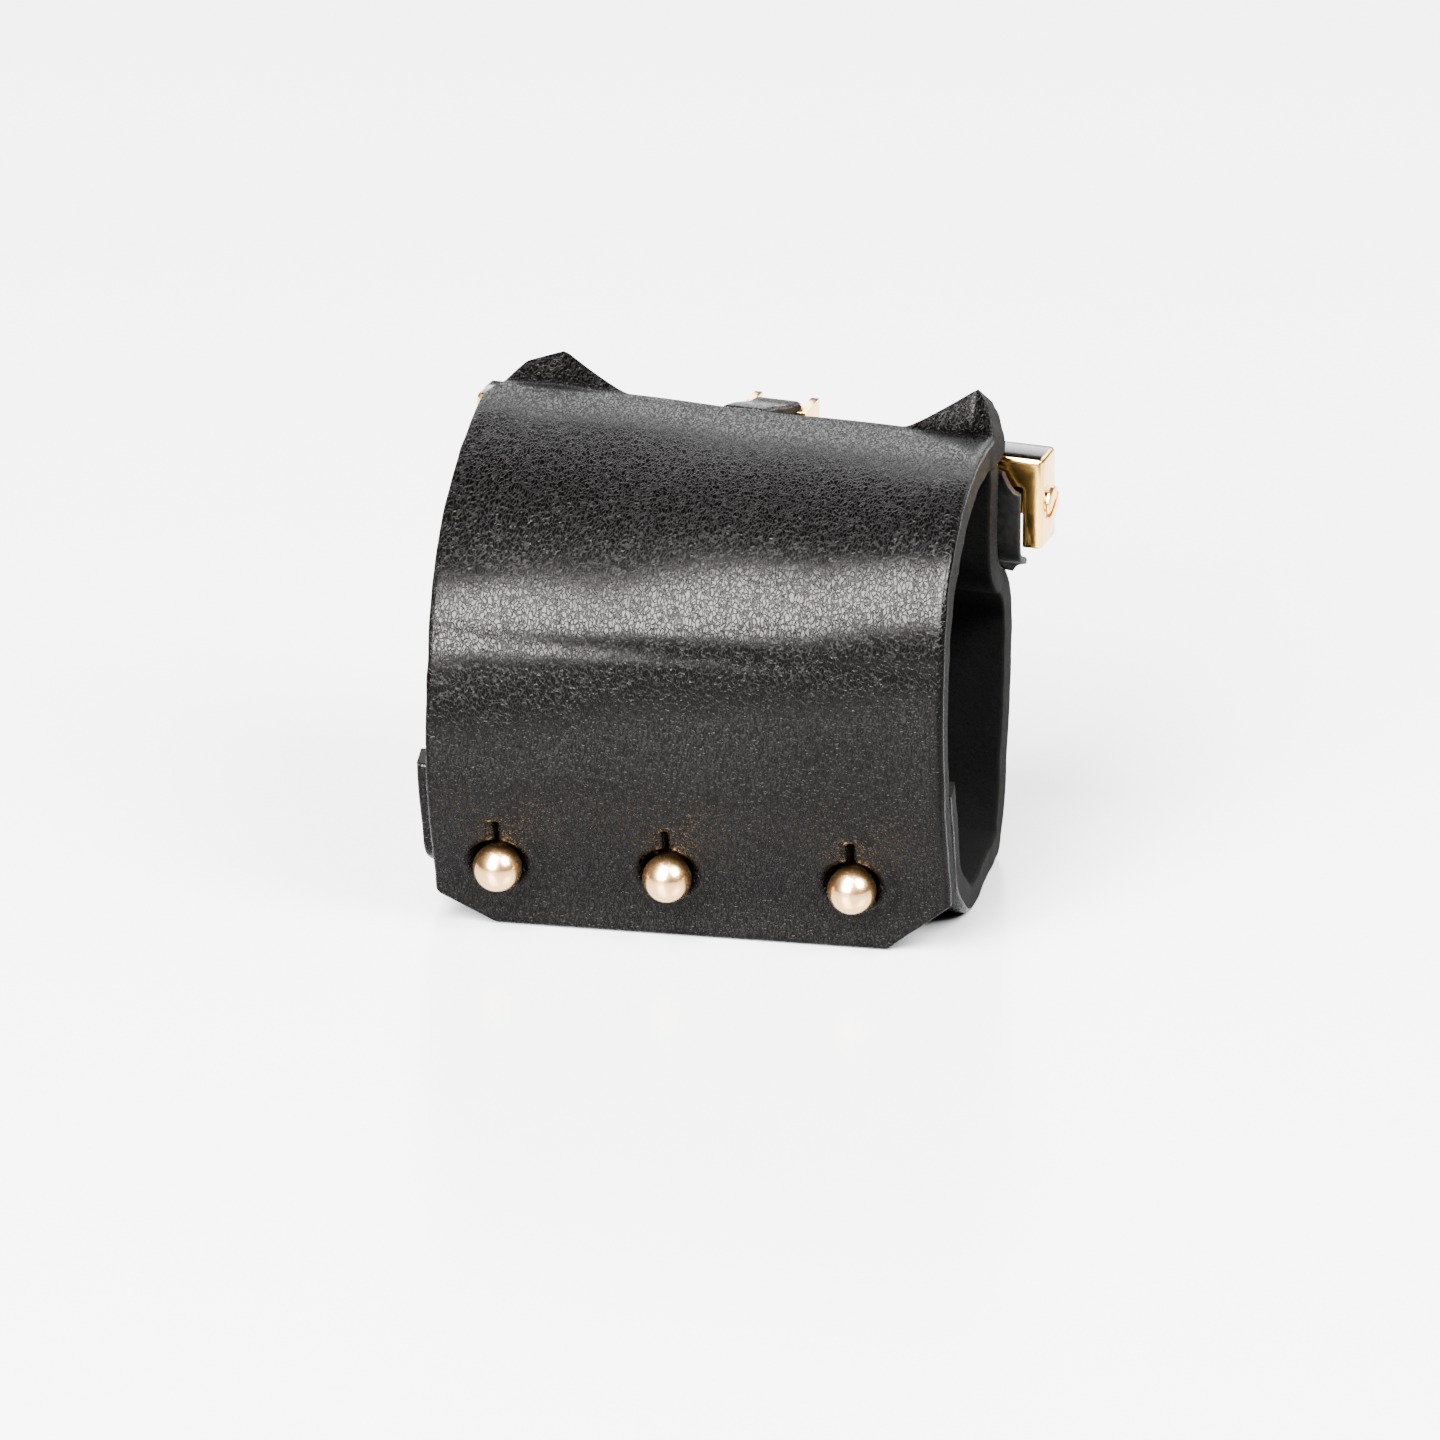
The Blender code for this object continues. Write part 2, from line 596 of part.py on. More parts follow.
def hinge_frame():
    made = box("hinge_frame", (-HALF_FRAME, 0, FRAME_BOTTOM), (HALF_FRAME, FRAME_DEPTH, FRAME_TOP),
               YELLOW_GOLD, FRAME)
    bevel(made, FRAME_EDGE)
    inside = HALF_FRAME - CHEEK_THICKNESS
    window = box("frame_window", (-inside, -GAP * 4, FRAME_BOTTOM - FRAME_HEIGHT),
                 (inside, FRAME_DEPTH + GAP * 4, FRAME_TOP - RAIL_HEIGHT), parent=FRAME, group=CUTTERS)
    notch = box("rail_notch", (-NOTCH_HALF, -GAP * 4, FRAME_TOP - RAIL_NOTCH_DEPTH),
                (NOTCH_HALF, FRAME_DEPTH + GAP * 4, FRAME_TOP + RAIL_HEIGHT), parent=FRAME, group=CUTTERS)
    pivot = cylinder("pivot_bore", SHAFT_RADIUS + RUNNING, (-REACH / 2, PIVOT_DEPTH, PIVOT_HEIGHT),
                     (REACH / 2, PIVOT_DEPTH, PIVOT_HEIGHT), parent=FRAME, group=CUTTERS)
    cut(made, window, notch, pivot)
    for number, x in SCREW_PLACES.items():
        cut(made, cylinder(
            f"thread_cutter_{number}", FRAME_SCREW_RADIUS + RUNNING, (x, -FRAME_DEPTH, SCREW_HEIGHT),
            (x, FRAME_DEPTH * 0.8, SCREW_HEIGHT), parent=FRAME, group=CUTTERS, steps=12,
        ))
    return made


def frame_pad():
    made = sheet("frame_pad", lofted(PAD_PROUD, -BAND_LENGTH - PAD_PROUD, pad_section),
                 PAD_THICKNESS, (0, 1, 1), BLACK_RUBBER, ORIGIN)
    for number, x in SCREW_PLACES.items():
        cut(made, screw_hole(f"pad_hole_{number}", x))
    return made


PLATE_OUTER = -(SEAT + LEATHER + GAP)  # the inner plate's outer face, behind the frame's front


def inner_plate():
    top = SCREW_HEIGHT + PLATE_MARGIN
    left = -(BAND_LENGTH - PLATE_INSET) - FRAME_CENTRE_X
    right = -PLATE_INSET - FRAME_CENTRE_X
    made = box(
        "inner_plate", (left, PLATE_OUTER - PLATE_THICKNESS, top - PLATE_HEIGHT),
        (right, PLATE_OUTER, top), BLACK_PLATE, FRAME,
    )
    bevel(made, PLATE_EDGE)
    for number, x in SCREW_PLACES.items():
        cut(made, screw_hole(f"plate_hole_{number}", x, RUNNING))
    return made


def frame_screw(number, x):
    """A screw from inside the band, through plate and leather, into the rail."""
    head_seat = PLATE_OUTER - PLATE_THICKNESS - GAP / 2
    tip = FRAME_DEPTH * 0.7
    end = head_seat - FRAME_HEAD_HEIGHT
    profile = [
        (0.0, tip), (FRAME_SCREW_RADIUS, tip - 0.3 * MM), (FRAME_SCREW_RADIUS, head_seat),
        (FRAME_HEAD_RADIUS, head_seat), (FRAME_HEAD_RADIUS, end + 0.3 * MM),
        (FRAME_HEAD_RADIUS - 0.5 * MM, end), (0.0, end),
    ]
    made = turned(f"frame_screw_{number}", profile, STEEL, FRAME, (x, 0.0, SCREW_HEIGHT),
                  (math.radians(-90.0), 0.0, 0.0))
    cut(made, box(
        f"frame_slot_{number}", (x - REACH / 8, end - SLOT_DEPTH, SCREW_HEIGHT - SLOT_WIDTH / 2),
        (x + REACH / 8, end + SLOT_DEPTH, SCREW_HEIGHT + SLOT_WIDTH / 2), parent=FRAME, group=CUTTERS,
    ))
    return made


# ---------------------------------------------------------------- lever, shaft, cam and bushes
LEVER_AXIS = empty("lever_axis", (0.0, PIVOT_DEPTH, PIVOT_HEIGHT), FRAME)
FORK_HALF = CLIP_WIDTH / 2 + 2 * GAP
BARREL_START = FORK_HALF
BARREL_END = BARREL_START + BARREL_LENGTH


def lever_path():
    """Mid-line of the lever from its shaft down behind the band, in the lever axis's frame."""
    bulge = DEPTH_RIGHT - frame_front(0.0)  # how far the back wall stands out behind the frame
    down = bulge + LEVER_THICKNESS / 2 + 1.2 * MM - PIVOT_DEPTH
    points = [
        (0.0, 0.0), (0.5 * MM, -2.2 * MM), (2.0 * MM, -4.6 * MM), (0.83 * down, -6.8 * MM),
        (down, -9.6 * MM), (down, -13.6 * MM), (down - 0.7 * MM, -17.4 * MM),
        (down + 0.6 * MM, -20.0 * MM),
    ]
    return smooth([Vector(point) for point in points])


def lever_half_width(share):
    """Half width of the lever at a share of its length: waisted, with a round thumb end."""
    waist = 1.0 - 0.12 * math.sin(math.pi * min(share / 0.7, 1.0))
    tip = max(share - 0.84, 0.0) / 0.16
    return LEVER_WIDTH / 2 * waist * math.sqrt(max(1.0 - 0.72 * tip**2, 0.0))


def lever():
    path = lever_path()
    rows_count = 18
    points = stretch(path, 0.0, lengths(path)[-1], rows_count)
    across = 6
    rows = [
        [(lever_half_width(i / rows_count) * (2 * j / across - 1), p.x + LEVER_THICKNESS / 2, p.y)
         for j in range(across + 1)]
        for i, p in enumerate(points)
    ]
    made = sheet("lever", rows, LEVER_THICKNESS, (0, 1, 0), YELLOW_GOLD, LEVER_AXIS)
    fork = box("fork_cutter", (-FORK_HALF, -REACH / 6, -6.6 * MM), (FORK_HALF, REACH / 6, REACH / 6),
               parent=LEVER_AXIS, group=CUTTERS)
    cut(made, fork)
    for name, sign in (("left", -1), ("right", 1)):
        join(made, cylinder(f"barrel_{name}", BARREL_RADIUS, (sign * BARREL_START, 0, 0),
                            (sign * BARREL_END, 0, 0), parent=LEVER_AXIS, group=CUTTERS, steps=24))
    cut(made, cylinder("barrel_bore", SHAFT_RADIUS + RUNNING, (-REACH / 2, 0, 0), (REACH / 2, 0, 0),
                       parent=LEVER_AXIS, group=CUTTERS))
    return made


def lever_shaft():
    """A shaft through both cheeks with a slotted head at each end."""
    seat = HALF_FRAME + RUNNING
    end = seat + SHAFT_HEAD_HEIGHT
    profile = [
        (0.0, end), (SHAFT_HEAD_RADIUS - 0.15 * MM, end), (SHAFT_HEAD_RADIUS, end - 0.15 * MM),
        (SHAFT_HEAD_RADIUS, seat), (SHAFT_RADIUS, seat), (SHAFT_RADIUS, -seat),
        (SHAFT_HEAD_RADIUS, -seat), (SHAFT_HEAD_RADIUS, -end + 0.15 * MM),
        (SHAFT_HEAD_RADIUS - 0.15 * MM, -end), (0.0, -end),
    ]
    made = turned("lever_shaft", profile, YELLOW_GOLD, LEVER_AXIS, turn=(0.0, math.radians(90.0), 0.0))
    for name, sign in (("left", -1), ("right", 1)):
        cut(made, box(
            f"shaft_slot_{name}",
            (sign * end - SLOT_DEPTH, -REACH / 8, -SLOT_WIDTH / 2),
            (sign * end + SLOT_DEPTH, REACH / 8, SLOT_WIDTH / 2),
            parent=LEVER_AXIS, group=CUTTERS, turn=(math.pi / 2 - SHAFT_SLOT_TURN, 0.0, 0.0),
        ))
    return made


def bush(side, sign):
    """A rubber sleeve that fills the shaft between a barrel's end and the frame's cheek."""
    start = BARREL_END + GAP
    end = HALF_FRAME - CHEEK_THICKNESS - GAP
    hole = SHAFT_RADIUS + RUNNING
    profile = [(BUSH_RADIUS, end), (BUSH_RADIUS, start), (hole, start), (hole, end)]
    return turned(f"bush_{side}", profile, BLACK_RUBBER, LEVER_AXIS,
                  turn=(0.0, sign * math.radians(90.0), 0.0), closed=True)


def cam_outline():
    """Spiral outline: its radius falls evenly over the lever's travel, then stays low."""
    points = []
    count = 48
    for i in range(count):
        angle = -math.pi / 2 - 2 * math.pi * i / count  # from straight down, towards the leather
        travelled = 2 * math.pi * i / count
        rise = max(1.0 - travelled / LEVER_OPENING, 0.0)
        back = max(1.0 - (2 * math.pi - travelled) / math.radians(45.0), 0.0)
        radius = CAM_LOW + CLIP_TRAVEL * max(rise, back)
        points.append((radius * math.cos(angle), radius * math.sin(angle)))
    return points


def outline_plate(name, points, thickness, look, parent, where, turn, group=PARTS):
    """A flat outline made as a filled 2D curve, then a mesh so that it can be cut."""
    data = bpy.data.curves.new(name, "CURVE")
    data.dimensions = "2D"
    data.fill_mode = "BOTH"
    data.extrude = thickness / 2
    spline = data.splines.new("POLY")
    spline.points.add(len(points) - 1)
    for target, (u, v) in zip(spline.points, points):
        target.co = (u, v, 0.0, 1.0)
    spline.use_cyclic_u = True
    drawn = bpy.data.objects.new(name + "_outline", data)
    CUTTERS.objects.link(drawn)
    bpy.context.view_layer.update()
    mesh = bpy.data.meshes.new_from_object(drawn.evaluated_get(bpy.context.evaluated_depsgraph_get()))
    bpy.data.objects.remove(drawn, do_unlink=True)
    mesh.name = name
    shape = bmesh.new()
    shape.from_mesh(mesh)
    bmesh.ops.remove_doubles(shape, verts=shape.verts, dist=MERGE)
    bmesh.ops.recalc_face_normals(shape, faces=shape.faces)
    shape.to_mesh(mesh)
    shape.free()
    return place(name, mesh, look, parent, where, turn, group)


# An outline drawn as (u, v) stands in the (Y, Z) plane after this turn, with its thickness along X.
UPRIGHT = (math.radians(90.0), 0.0, math.radians(90.0))


def tension_cam():
    width = TAB_WIDTH
    made = outline_plate("tension_cam", cam_outline(), width, BLACK_PLATE, LEVER_AXIS,
                         (0.0, 0.0, 0.0), UPRIGHT)
    cut(made, cylinder("cam_bore", SHAFT_RADIUS + RUNNING, (-REACH / 4, 0, 0), (REACH / 4, 0, 0),
                       parent=LEVER_AXIS, group=CUTTERS))
    return made


# ---------------------------------------------------------------- pull clip and tab
CLIP_FRONT = FRAME_DEPTH + GAP
FOLLOWER_HEIGHT = PIVOT_HEIGHT - CAM_HIGH - FOLLOWER_RADIUS - RUNNING
FOOT_TOP = PIVOT_HEIGHT - SHAFT_RADIUS - CLIP_TRAVEL - GAP
FOOT_FRONT = PIVOT_DEPTH - FOLLOWER_RADIUS - GAP
TAB_END = FRAME_TOP - RAIL_HEIGHT - 1.2 * MM
TAB_SCREW_HEIGHT = (TAB_END + FRAME_TOP - RAIL_HEIGHT) / 2 + 0.3 * MM


def pull_clip():
    """A stirrup: two L-shaped walls that reach down past the cam, joined by a plate behind."""
    wall = [
        (CLIP_FRONT, CLIP_TOP), (CLIP_BACK, CLIP_TOP), (CLIP_BACK, CLIP_BOTTOM),
        (FOOT_FRONT, CLIP_BOTTOM), (FOOT_FRONT, FOOT_TOP), (CLIP_FRONT, FOOT_TOP),
    ]
    middle = (CLIP_WIDTH - CLIP_WALL) / 2
    made = outline_plate("pull_clip", wall, CLIP_WALL, YELLOW_GOLD, FRAME, (middle, 0, 0), UPRIGHT)
    other = outline_plate("clip_wall", wall, CLIP_WALL, None, FRAME, (-middle, 0, 0), UPRIGHT, CUTTERS)
    plate = box("clip_plate", (-middle, CLIP_BACK - CLIP_WALL, TAB_END - GAP * 2),
                (middle, CLIP_BACK, CLIP_TOP - CLIP_SINK), parent=FRAME, group=CUTTERS)
    join(made, plate, other)
    cut(made, cylinder("follower_bore", FOLLOWER_RADIUS + RUNNING, (-REACH / 4, PIVOT_DEPTH, FOLLOWER_HEIGHT),
                       (REACH / 4, PIVOT_DEPTH, FOLLOWER_HEIGHT), parent=FRAME, group=CUTTERS, steps=16))
    cut(made, tab_hole("clip_hole"))
    return made


def tab_hole(name):
    return cylinder(name, TAB_SCREW_RADIUS + RUNNING, (0, FRAME_DEPTH / 2, TAB_SCREW_HEIGHT),
                    (0, REACH / 4, TAB_SCREW_HEIGHT), parent=FRAME, group=CUTTERS, steps=12)


def cam_follower():
    half = CLIP_WIDTH / 2 - RUNNING
    return cylinder("cam_follower", FOLLOWER_RADIUS, (-half, PIVOT_DEPTH, FOLLOWER_HEIGHT),
                    (half, PIVOT_DEPTH, FOLLOWER_HEIGHT), STEEL, FRAME, steps=16)


def tab_path():
    """Outer line of the leather tab, from the front strap's rear edge down behind the rail."""
    crown = front_section(FRAME_CENTRE_X)[-1]
    start = crown.x - frame_front(FRAME_CENTRE_X) + TAB_START
    back = CLIP_BACK - CLIP_WALL - GAP
    low_rail = FRAME_TOP - RAIL_NOTCH_DEPTH
    points = [
        (start, crown.y), (start + 1.6 * MM, crown.y - 0.6 * MM),
        (FRAME_DEPTH * 0.7, low_rail + TAB_THICKNESS + 0.65 * MM),
        (back - 0.8 * MM, low_rail + 1.1 * MM), (back, low_rail - 1.0 * MM), (back, TAB_END),
    ]
    return smooth([Vector(point) for point in points])


def pull_tab():
    path = tab_path()
    points = stretch(path, 0.0, lengths(path)[-1], 16)
    half = TAB_WIDTH / 2
    rows = [[(half * side, p.x, p.y) for side in (-1, 0, 1)] for p in points]
    made = sheet("pull_tab", rows, TAB_THICKNESS, (0, 0, 1), BLACK_LEATHER, FRAME)
    cut(made, tab_hole("tab_hole"))
    return made


def tab_screw():
    seat = CLIP_BACK + GAP / 2
    tip = CLIP_BACK - CLIP_WALL - GAP - TAB_THICKNESS
    end = seat + TAB_HEAD_HEIGHT
    profile = [
        (0.0, end), (TAB_HEAD_RADIUS - 0.2 * MM, end), (TAB_HEAD_RADIUS, end - 0.2 * MM),
        (TAB_HEAD_RADIUS, seat), (TAB_SCREW_RADIUS, seat), (TAB_SCREW_RADIUS, tip), (0.0, tip),
    ]
    made = turned("tab_screw", profile, YELLOW_GOLD, FRAME, (0.0, 0.0, TAB_SCREW_HEIGHT),
                  (math.radians(-90.0), 0.0, 0.0))
    return made


# ---------------------------------------------------------------- build
def centre_on_base():
    """Moves the model so that the origin is the centre of its base."""
    bpy.context.view_layer.update()
    graph = bpy.context.evaluated_depsgraph_get()
    corners = []
    for part in PARTS.objects:
        if part.type == "MESH":
            ready = part.evaluated_get(graph)
            mesh = ready.to_mesh()
            corners += [part.matrix_world @ vertex.co for vertex in mesh.vertices]
            ready.to_mesh_clear()
    low = Vector([min(point[axis] for point in corners) for axis in range(3)])
    high = Vector([max(point[axis] for point in corners) for axis in range(3)])
    ORIGIN.location = (-(low.x + high.x) / 2, -(low.y + high.y) / 2, -low.z)


def flap_axis():
    """The flap bends about a line in front of the leather, so its holes leave the balls straight."""
    x = STUD_PLACES["middle"]
    curve = front_section(x)
    run = lengths(curve)
    hole = at_length(curve, run, length_at_height(curve, STUD_HEIGHT))
    along = at_length(curve, run, length_at_height(curve, STUD_HEIGHT) + MM) - hole
    drop = FLAP_TOP - hole.y
    lean = math.atan2(-along.x, along.y) + math.asin(1.5 * LEATHER / (2 * drop))
    return empty("flap_axis", (-BAND_LENGTH / 2, hole.x - drop * math.tan(lean) + LEATHER / 2, FLAP_TOP),
                 ORIGIN)


flap_axis()
flap()
front_strap()
back_strap()
for stud_side in STUDS:
    stud(stud_side)
    stud_washer(stud_side)
    stud_screw(stud_side)
hinge_frame()
frame_pad()
inner_plate()
for screw_number, screw_x in SCREW_PLACES.items():
    frame_screw(screw_number, screw_x)
lever()
lever_shaft()
bush("right", 1)
bush("left", -1)
tension_cam()
pull_clip()
cam_follower()
pull_tab()
tab_screw()
centre_on_base()
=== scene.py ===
"""Saxophone ligature: the finished look of every piece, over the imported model.

Sizes are in mm. The band is drawn on its own axes: X runs along the tube from the right-hand edge of
the leather (0) to the left-hand edge, Y from the front wall to the back, Z up from the table.
"""
import math

import bmesh
import bpy
import numpy as np
from mathutils import Matrix, Vector


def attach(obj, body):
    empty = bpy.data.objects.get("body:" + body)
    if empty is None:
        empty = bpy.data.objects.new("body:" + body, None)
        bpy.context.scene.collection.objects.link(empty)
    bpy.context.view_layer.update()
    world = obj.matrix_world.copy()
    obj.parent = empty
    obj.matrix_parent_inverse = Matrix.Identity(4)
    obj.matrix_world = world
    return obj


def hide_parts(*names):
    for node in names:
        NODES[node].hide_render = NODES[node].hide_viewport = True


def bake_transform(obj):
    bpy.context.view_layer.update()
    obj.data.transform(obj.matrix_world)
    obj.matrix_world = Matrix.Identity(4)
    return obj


MM = 0.001
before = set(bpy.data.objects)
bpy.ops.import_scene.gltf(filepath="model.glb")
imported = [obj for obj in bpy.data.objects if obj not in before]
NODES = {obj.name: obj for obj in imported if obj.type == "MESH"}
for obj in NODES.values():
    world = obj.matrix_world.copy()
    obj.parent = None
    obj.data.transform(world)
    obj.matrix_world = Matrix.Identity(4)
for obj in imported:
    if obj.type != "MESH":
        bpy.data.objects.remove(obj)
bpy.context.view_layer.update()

# ---------------------------------------------------------------- sizes
BAND_AXES = (18.421, -17.943, 0.0)  # where the band's own origin lies in the row frame
BAND_LENGTH = 38.4
LEATHER = 2.2
DEPTH_RIGHT = 29.9
DEPTH_LEFT = 35.3
CROWN_RIGHT = 34.6
CROWN_LEFT = 34.2
FLAP_EDGE = 4.3
HEEL_RIGHT = 8.97
HEEL_LEFT = 10.59
INNER_END_TOP = 12.6
INNER_END_PROUD = 1.2
CHAMFER_RIGHT = (4.9, 3.9)
CHAMFER_LEFT = (4.5, 2.3)
EARS = ((-2.0, 4.8, 3.4, 2.1), (-33.5, 7.4, 5.6, 1.4))  # peak, reach to its left and right, rise
EAR_REACH = 4.2
STUD_PLACES = {"right": -7.2, "middle": -20.9, "left": -33.5}
STUD_HEIGHT = 5.25
BALL_RADIUS = 1.8
BALL_PROUD = 0.4
NECK_RADIUS = 1.1
HOLE_RADIUS = 2.0
HOLE_LIFT = 0.25
SLIT_WIDTH = 0.36
SLIT_REACH = 4.1
GAP = 0.25
RUNNING = 0.12
PAD_THICKNESS = 0.5
PAD_RIGHT = 1.6  # how far the pad stands out past the leather
PAD_LEFT = 0.9
SEAT = PAD_THICKNESS + 2 * GAP
FRAME_YAW = -math.atan2(DEPTH_LEFT - DEPTH_RIGHT, BAND_LENGTH)
FRAME_LENGTH = 44.0
FRAME_RIGHT_END = 3.1
FRAME_FRONT_RIGHT = 24.0
FRAME_TOP = 31.5
FRAME_BOTTOM = 24.4
RAIL_NOTCH = 1.0
SHAFT_RADIUS = 0.8
BARREL_LENGTH = 13.0
FORK_HALF = 3.0
PIVOT_DEPTH = 1.9
PIVOT_HEIGHT = 27.6
CLIP_BACK = 6.9
CLIP_WALL = 0.6
TAB_THICKNESS = 1.3
TAB_WIDTH = 3.3
SCREW_SLOT = 0.44
UV_SPAN = 100.0  # mm of leather across one unit of the UV map
WORLD_LIGHT = 0.11


# ---------------------------------------------------------------- curves in the (Y, Z) plane
def curve_through(points, steps=10):
    """A Catmull-Rom curve through the points."""
    points = np.asarray(points, float)
    ends = np.vstack([2 * points[0] - points[1], points, 2 * points[-1] - points[-2]])
    t = (np.arange(steps) / steps)[:, None]
    runs = [
        0.5 * (2 * b + (c - a) * t + (2 * a - 5 * b + 4 * c - d) * t**2 + (3 * b - a - 3 * c + d) * t**3)
        for a, b, c, d in zip(ends, ends[1:], ends[2:], ends[3:])
    ]
    return np.vstack([*runs, points[-1:]])


def run_of(curve):
    """Distance along the curve at each of its points."""
    return np.concatenate([[0.0], np.cumsum(np.linalg.norm(np.diff(curve, axis=0), axis=1))])


def along(curve, distance):
    run = run_of(curve)
    return np.stack([np.interp(distance, run, curve[:, i]) for i in range(2)], axis=-1)


def distance_at_height(curve, height, last=False):
    run, z = run_of(curve), curve[:, 1]
    crossed = np.nonzero((z[:-1] - height) * (z[1:] - height) <= 0)[0]
    i = crossed[-1 if last else 0]
    return run[i] + (run[i + 1] - run[i]) * (height - z[i]) / (z[i + 1] - z[i])


def offset(curve, distance):
    """The curve moved to the left of its direction."""
    step = np.gradient(curve, axis=0)
    left = np.stack([-step[:, 1], step[:, 0]], axis=1)
    return curve + distance * left / np.linalg.norm(left, axis=1, keepdims=True)


def ear(x):
    """How far the rear edge reaches back and rises at x, in its two pointed corners."""
    reach = rise = 0.0
    for peak, left, right, height in EARS:
        share = max(1.0 - abs(x - peak) / (left if x < peak else right), 0.0) ** 1.15
        reach = max(reach, share * EAR_REACH)
        rise = max(rise, share * height)
    return reach, rise


def front_section(x):
    """Outer line of the front leather at x, from its bottom edge over the top to the rear."""
    t = -x / BAND_LENGTH
    back = FRAME_FRONT_RIGHT - SEAT - 2.9
    back_left = back + BAND_LENGTH * math.tan(-FRAME_YAW)
    right = np.array([
        (FLAP_EDGE, 0.0), (3.9, 3.6), (2.8, 6.9), (1.5, 10.4), (0.6, 14.5), (0.0, 0.61 * CROWN_RIGHT),
        (0.9, 0.79 * CROWN_RIGHT), (3.6, 0.9 * CROWN_RIGHT), (8.4, 0.975 * CROWN_RIGHT),
        (14.0, CROWN_RIGHT), (back, CROWN_RIGHT - 0.4),
    ])
    left = np.array([
        (FLAP_EDGE, 0.0), (3.7, 3.4), (2.3, 6.7), (1.0, 10.2), (0.2, 13.8), (0.5, 0.55 * CROWN_LEFT),
        (2.6, 0.72 * CROWN_LEFT), (6.6, 0.83 * CROWN_LEFT), (12.6, 0.93 * CROWN_LEFT),
        (20.0, CROWN_LEFT - 0.4), (back_left, CROWN_LEFT - 0.1),
    ])
    points = right + (left - right) * t
    reach, rise = ear(x)
    tail = points[-1] + np.array([(0.6 + 0.42 * reach, -0.1 * rise), (1.2 + 0.92 * reach, rise)])
    return curve_through(np.vstack([points, tail]))


def frame_front(x):
    return FRAME_FRONT_RIGHT + (x - FRAME_RIGHT_END) * math.tan(FRAME_YAW)


def back_section(x):
    """Outer line of the back strap at x, from behind the flap, under and up to the frame."""
    t = -x / BAND_LENGTH
    depth = DEPTH_RIGHT + (DEPTH_LEFT - DEPTH_RIGHT) * t
    heel = HEEL_RIGHT + (HEEL_LEFT - HEEL_RIGHT) * t
    seat = frame_front(x) - SEAT
    behind = offset(front_section(min(max(x, -BAND_LENGTH), 0.0)), -(LEATHER + GAP))
    start = [along(behind, distance_at_height(behind, height)) for height in (INNER_END_TOP, 9.6, 6.8, 4.4)]
    rest = [
        (heel, 1.9), (0.40 * depth, 0.3), (0.52 * depth, 0.0), (0.66 * depth, 0.0), (0.80 * depth, 0.0),
        (0.90 * depth, 2.8), (0.955 * depth, 8.2), (depth, 15.4), (0.985 * depth, 19.0),
        (seat + 3.4, FRAME_BOTTOM - 2.5), (seat + 1.0, FRAME_BOTTOM - 1.3), (seat, FRAME_BOTTOM + 0.1),
        (seat, FRAME_BOTTOM + 3.6), (seat, FRAME_TOP - 0.1),
    ]
    curve = curve_through(np.vstack([start, rest]))
    curve[:, 1] = np.maximum(curve[:, 1], 0.0)
    return curve


def pad_section(x):
    curve = offset(back_section(x), -(GAP + PAD_THICKNESS) * 0.98)
    low = distance_at_height(curve, FRAME_BOTTOM - 3.0, last=True)
    high = distance_at_height(curve, FRAME_TOP - 0.9, last=True)
    return along(curve, np.linspace(low, high, 60))


# ---------------------------------------------------------------- materials
class Look:
    """A node material that is built up from a Principled shader."""

    def __init__(self, name, colour, roughness, metallic=0.0, **sockets):
        self.material = bpy.data.materials.new(name)
        self.material.use_nodes = True
        self.tree = self.material.node_tree
        self.shader = self.tree.nodes["Principled BSDF"]
        self.set(self.shader, {"Base Color": (*colour, 1.0), "Roughness": roughness,
                               "Metallic": metallic, **sockets})
        self.where = self.node("ShaderNodeTexCoord").outputs["Object"]

    def set(self, node, values):
        for key, value in values.items():
            if isinstance(value, bpy.types.NodeSocket):
                self.tree.links.new(value, node.inputs[key])
            else:
                node.inputs[key].default_value = value

    def node(self, kind, values=None, **settings):
        made = self.tree.nodes.new(kind)
        for key, value in settings.items():
            setattr(made, key, value)
        self.set(made, values or {})
        return made

    def use_uv(self, stretch):
        """Patterns lie in the leather's own surface; its UV map is in mm, divided by UV_SPAN."""
        uv = self.node("ShaderNodeUVMap", uv_map="surface").outputs[0]
        scale = [UV_SPAN * s for s in stretch]
        self.where = self.node("ShaderNodeMapping", {"Vector": uv, "Scale": scale}).outputs[0]
        return uv

    def noise(self, scale, detail=4.0, rough=0.6, distortion=0.0, where=None):
        return self.node("ShaderNodeTexNoise", {
            "Vector": where or self.where, "Scale": scale, "Detail": detail, "Roughness": rough,
            "Distortion": distortion}).outputs["Fac"]

    def cells(self, scale, feature="DISTANCE_TO_EDGE", where=None):
        return self.node("ShaderNodeTexVoronoi", {"Vector": where or self.where, "Scale": scale},
                         feature=feature).outputs["Distance"]

    def map(self, value, low, high, to_low, to_high, smooth=False):
        return self.node("ShaderNodeMapRange", {0: value, 1: low, 2: high, 3: to_low, 4: to_high},
                         interpolation_type="SMOOTHSTEP" if smooth else "LINEAR").outputs[0]

    def maths(self, operation, a, b):
        return self.node("ShaderNodeMath", {0: a, 1: b}, operation=operation).outputs[0]

    def colours(self, value, *stops):
        ramp = self.node("ShaderNodeValToRGB", {"Fac": value})
        for element, (place, colour) in zip(ramp.color_ramp.elements, stops):
            element.position = place
            element.color = (*colour, 1.0)
        self.set(self.shader, {"Base Color": ramp.outputs["Color"]})

    def roughness(self, value, low, high):
        self.set(self.shader, {"Roughness": self.map(value, 0.3, 0.7, low, high)})

    def bump(self, height, distance, strength=1.0):
        made = self.node("ShaderNodeBump", {"Height": height, "Distance": distance * MM, "Strength": strength})
        self.set(self.shader, {"Normal": made.outputs["Normal"]})


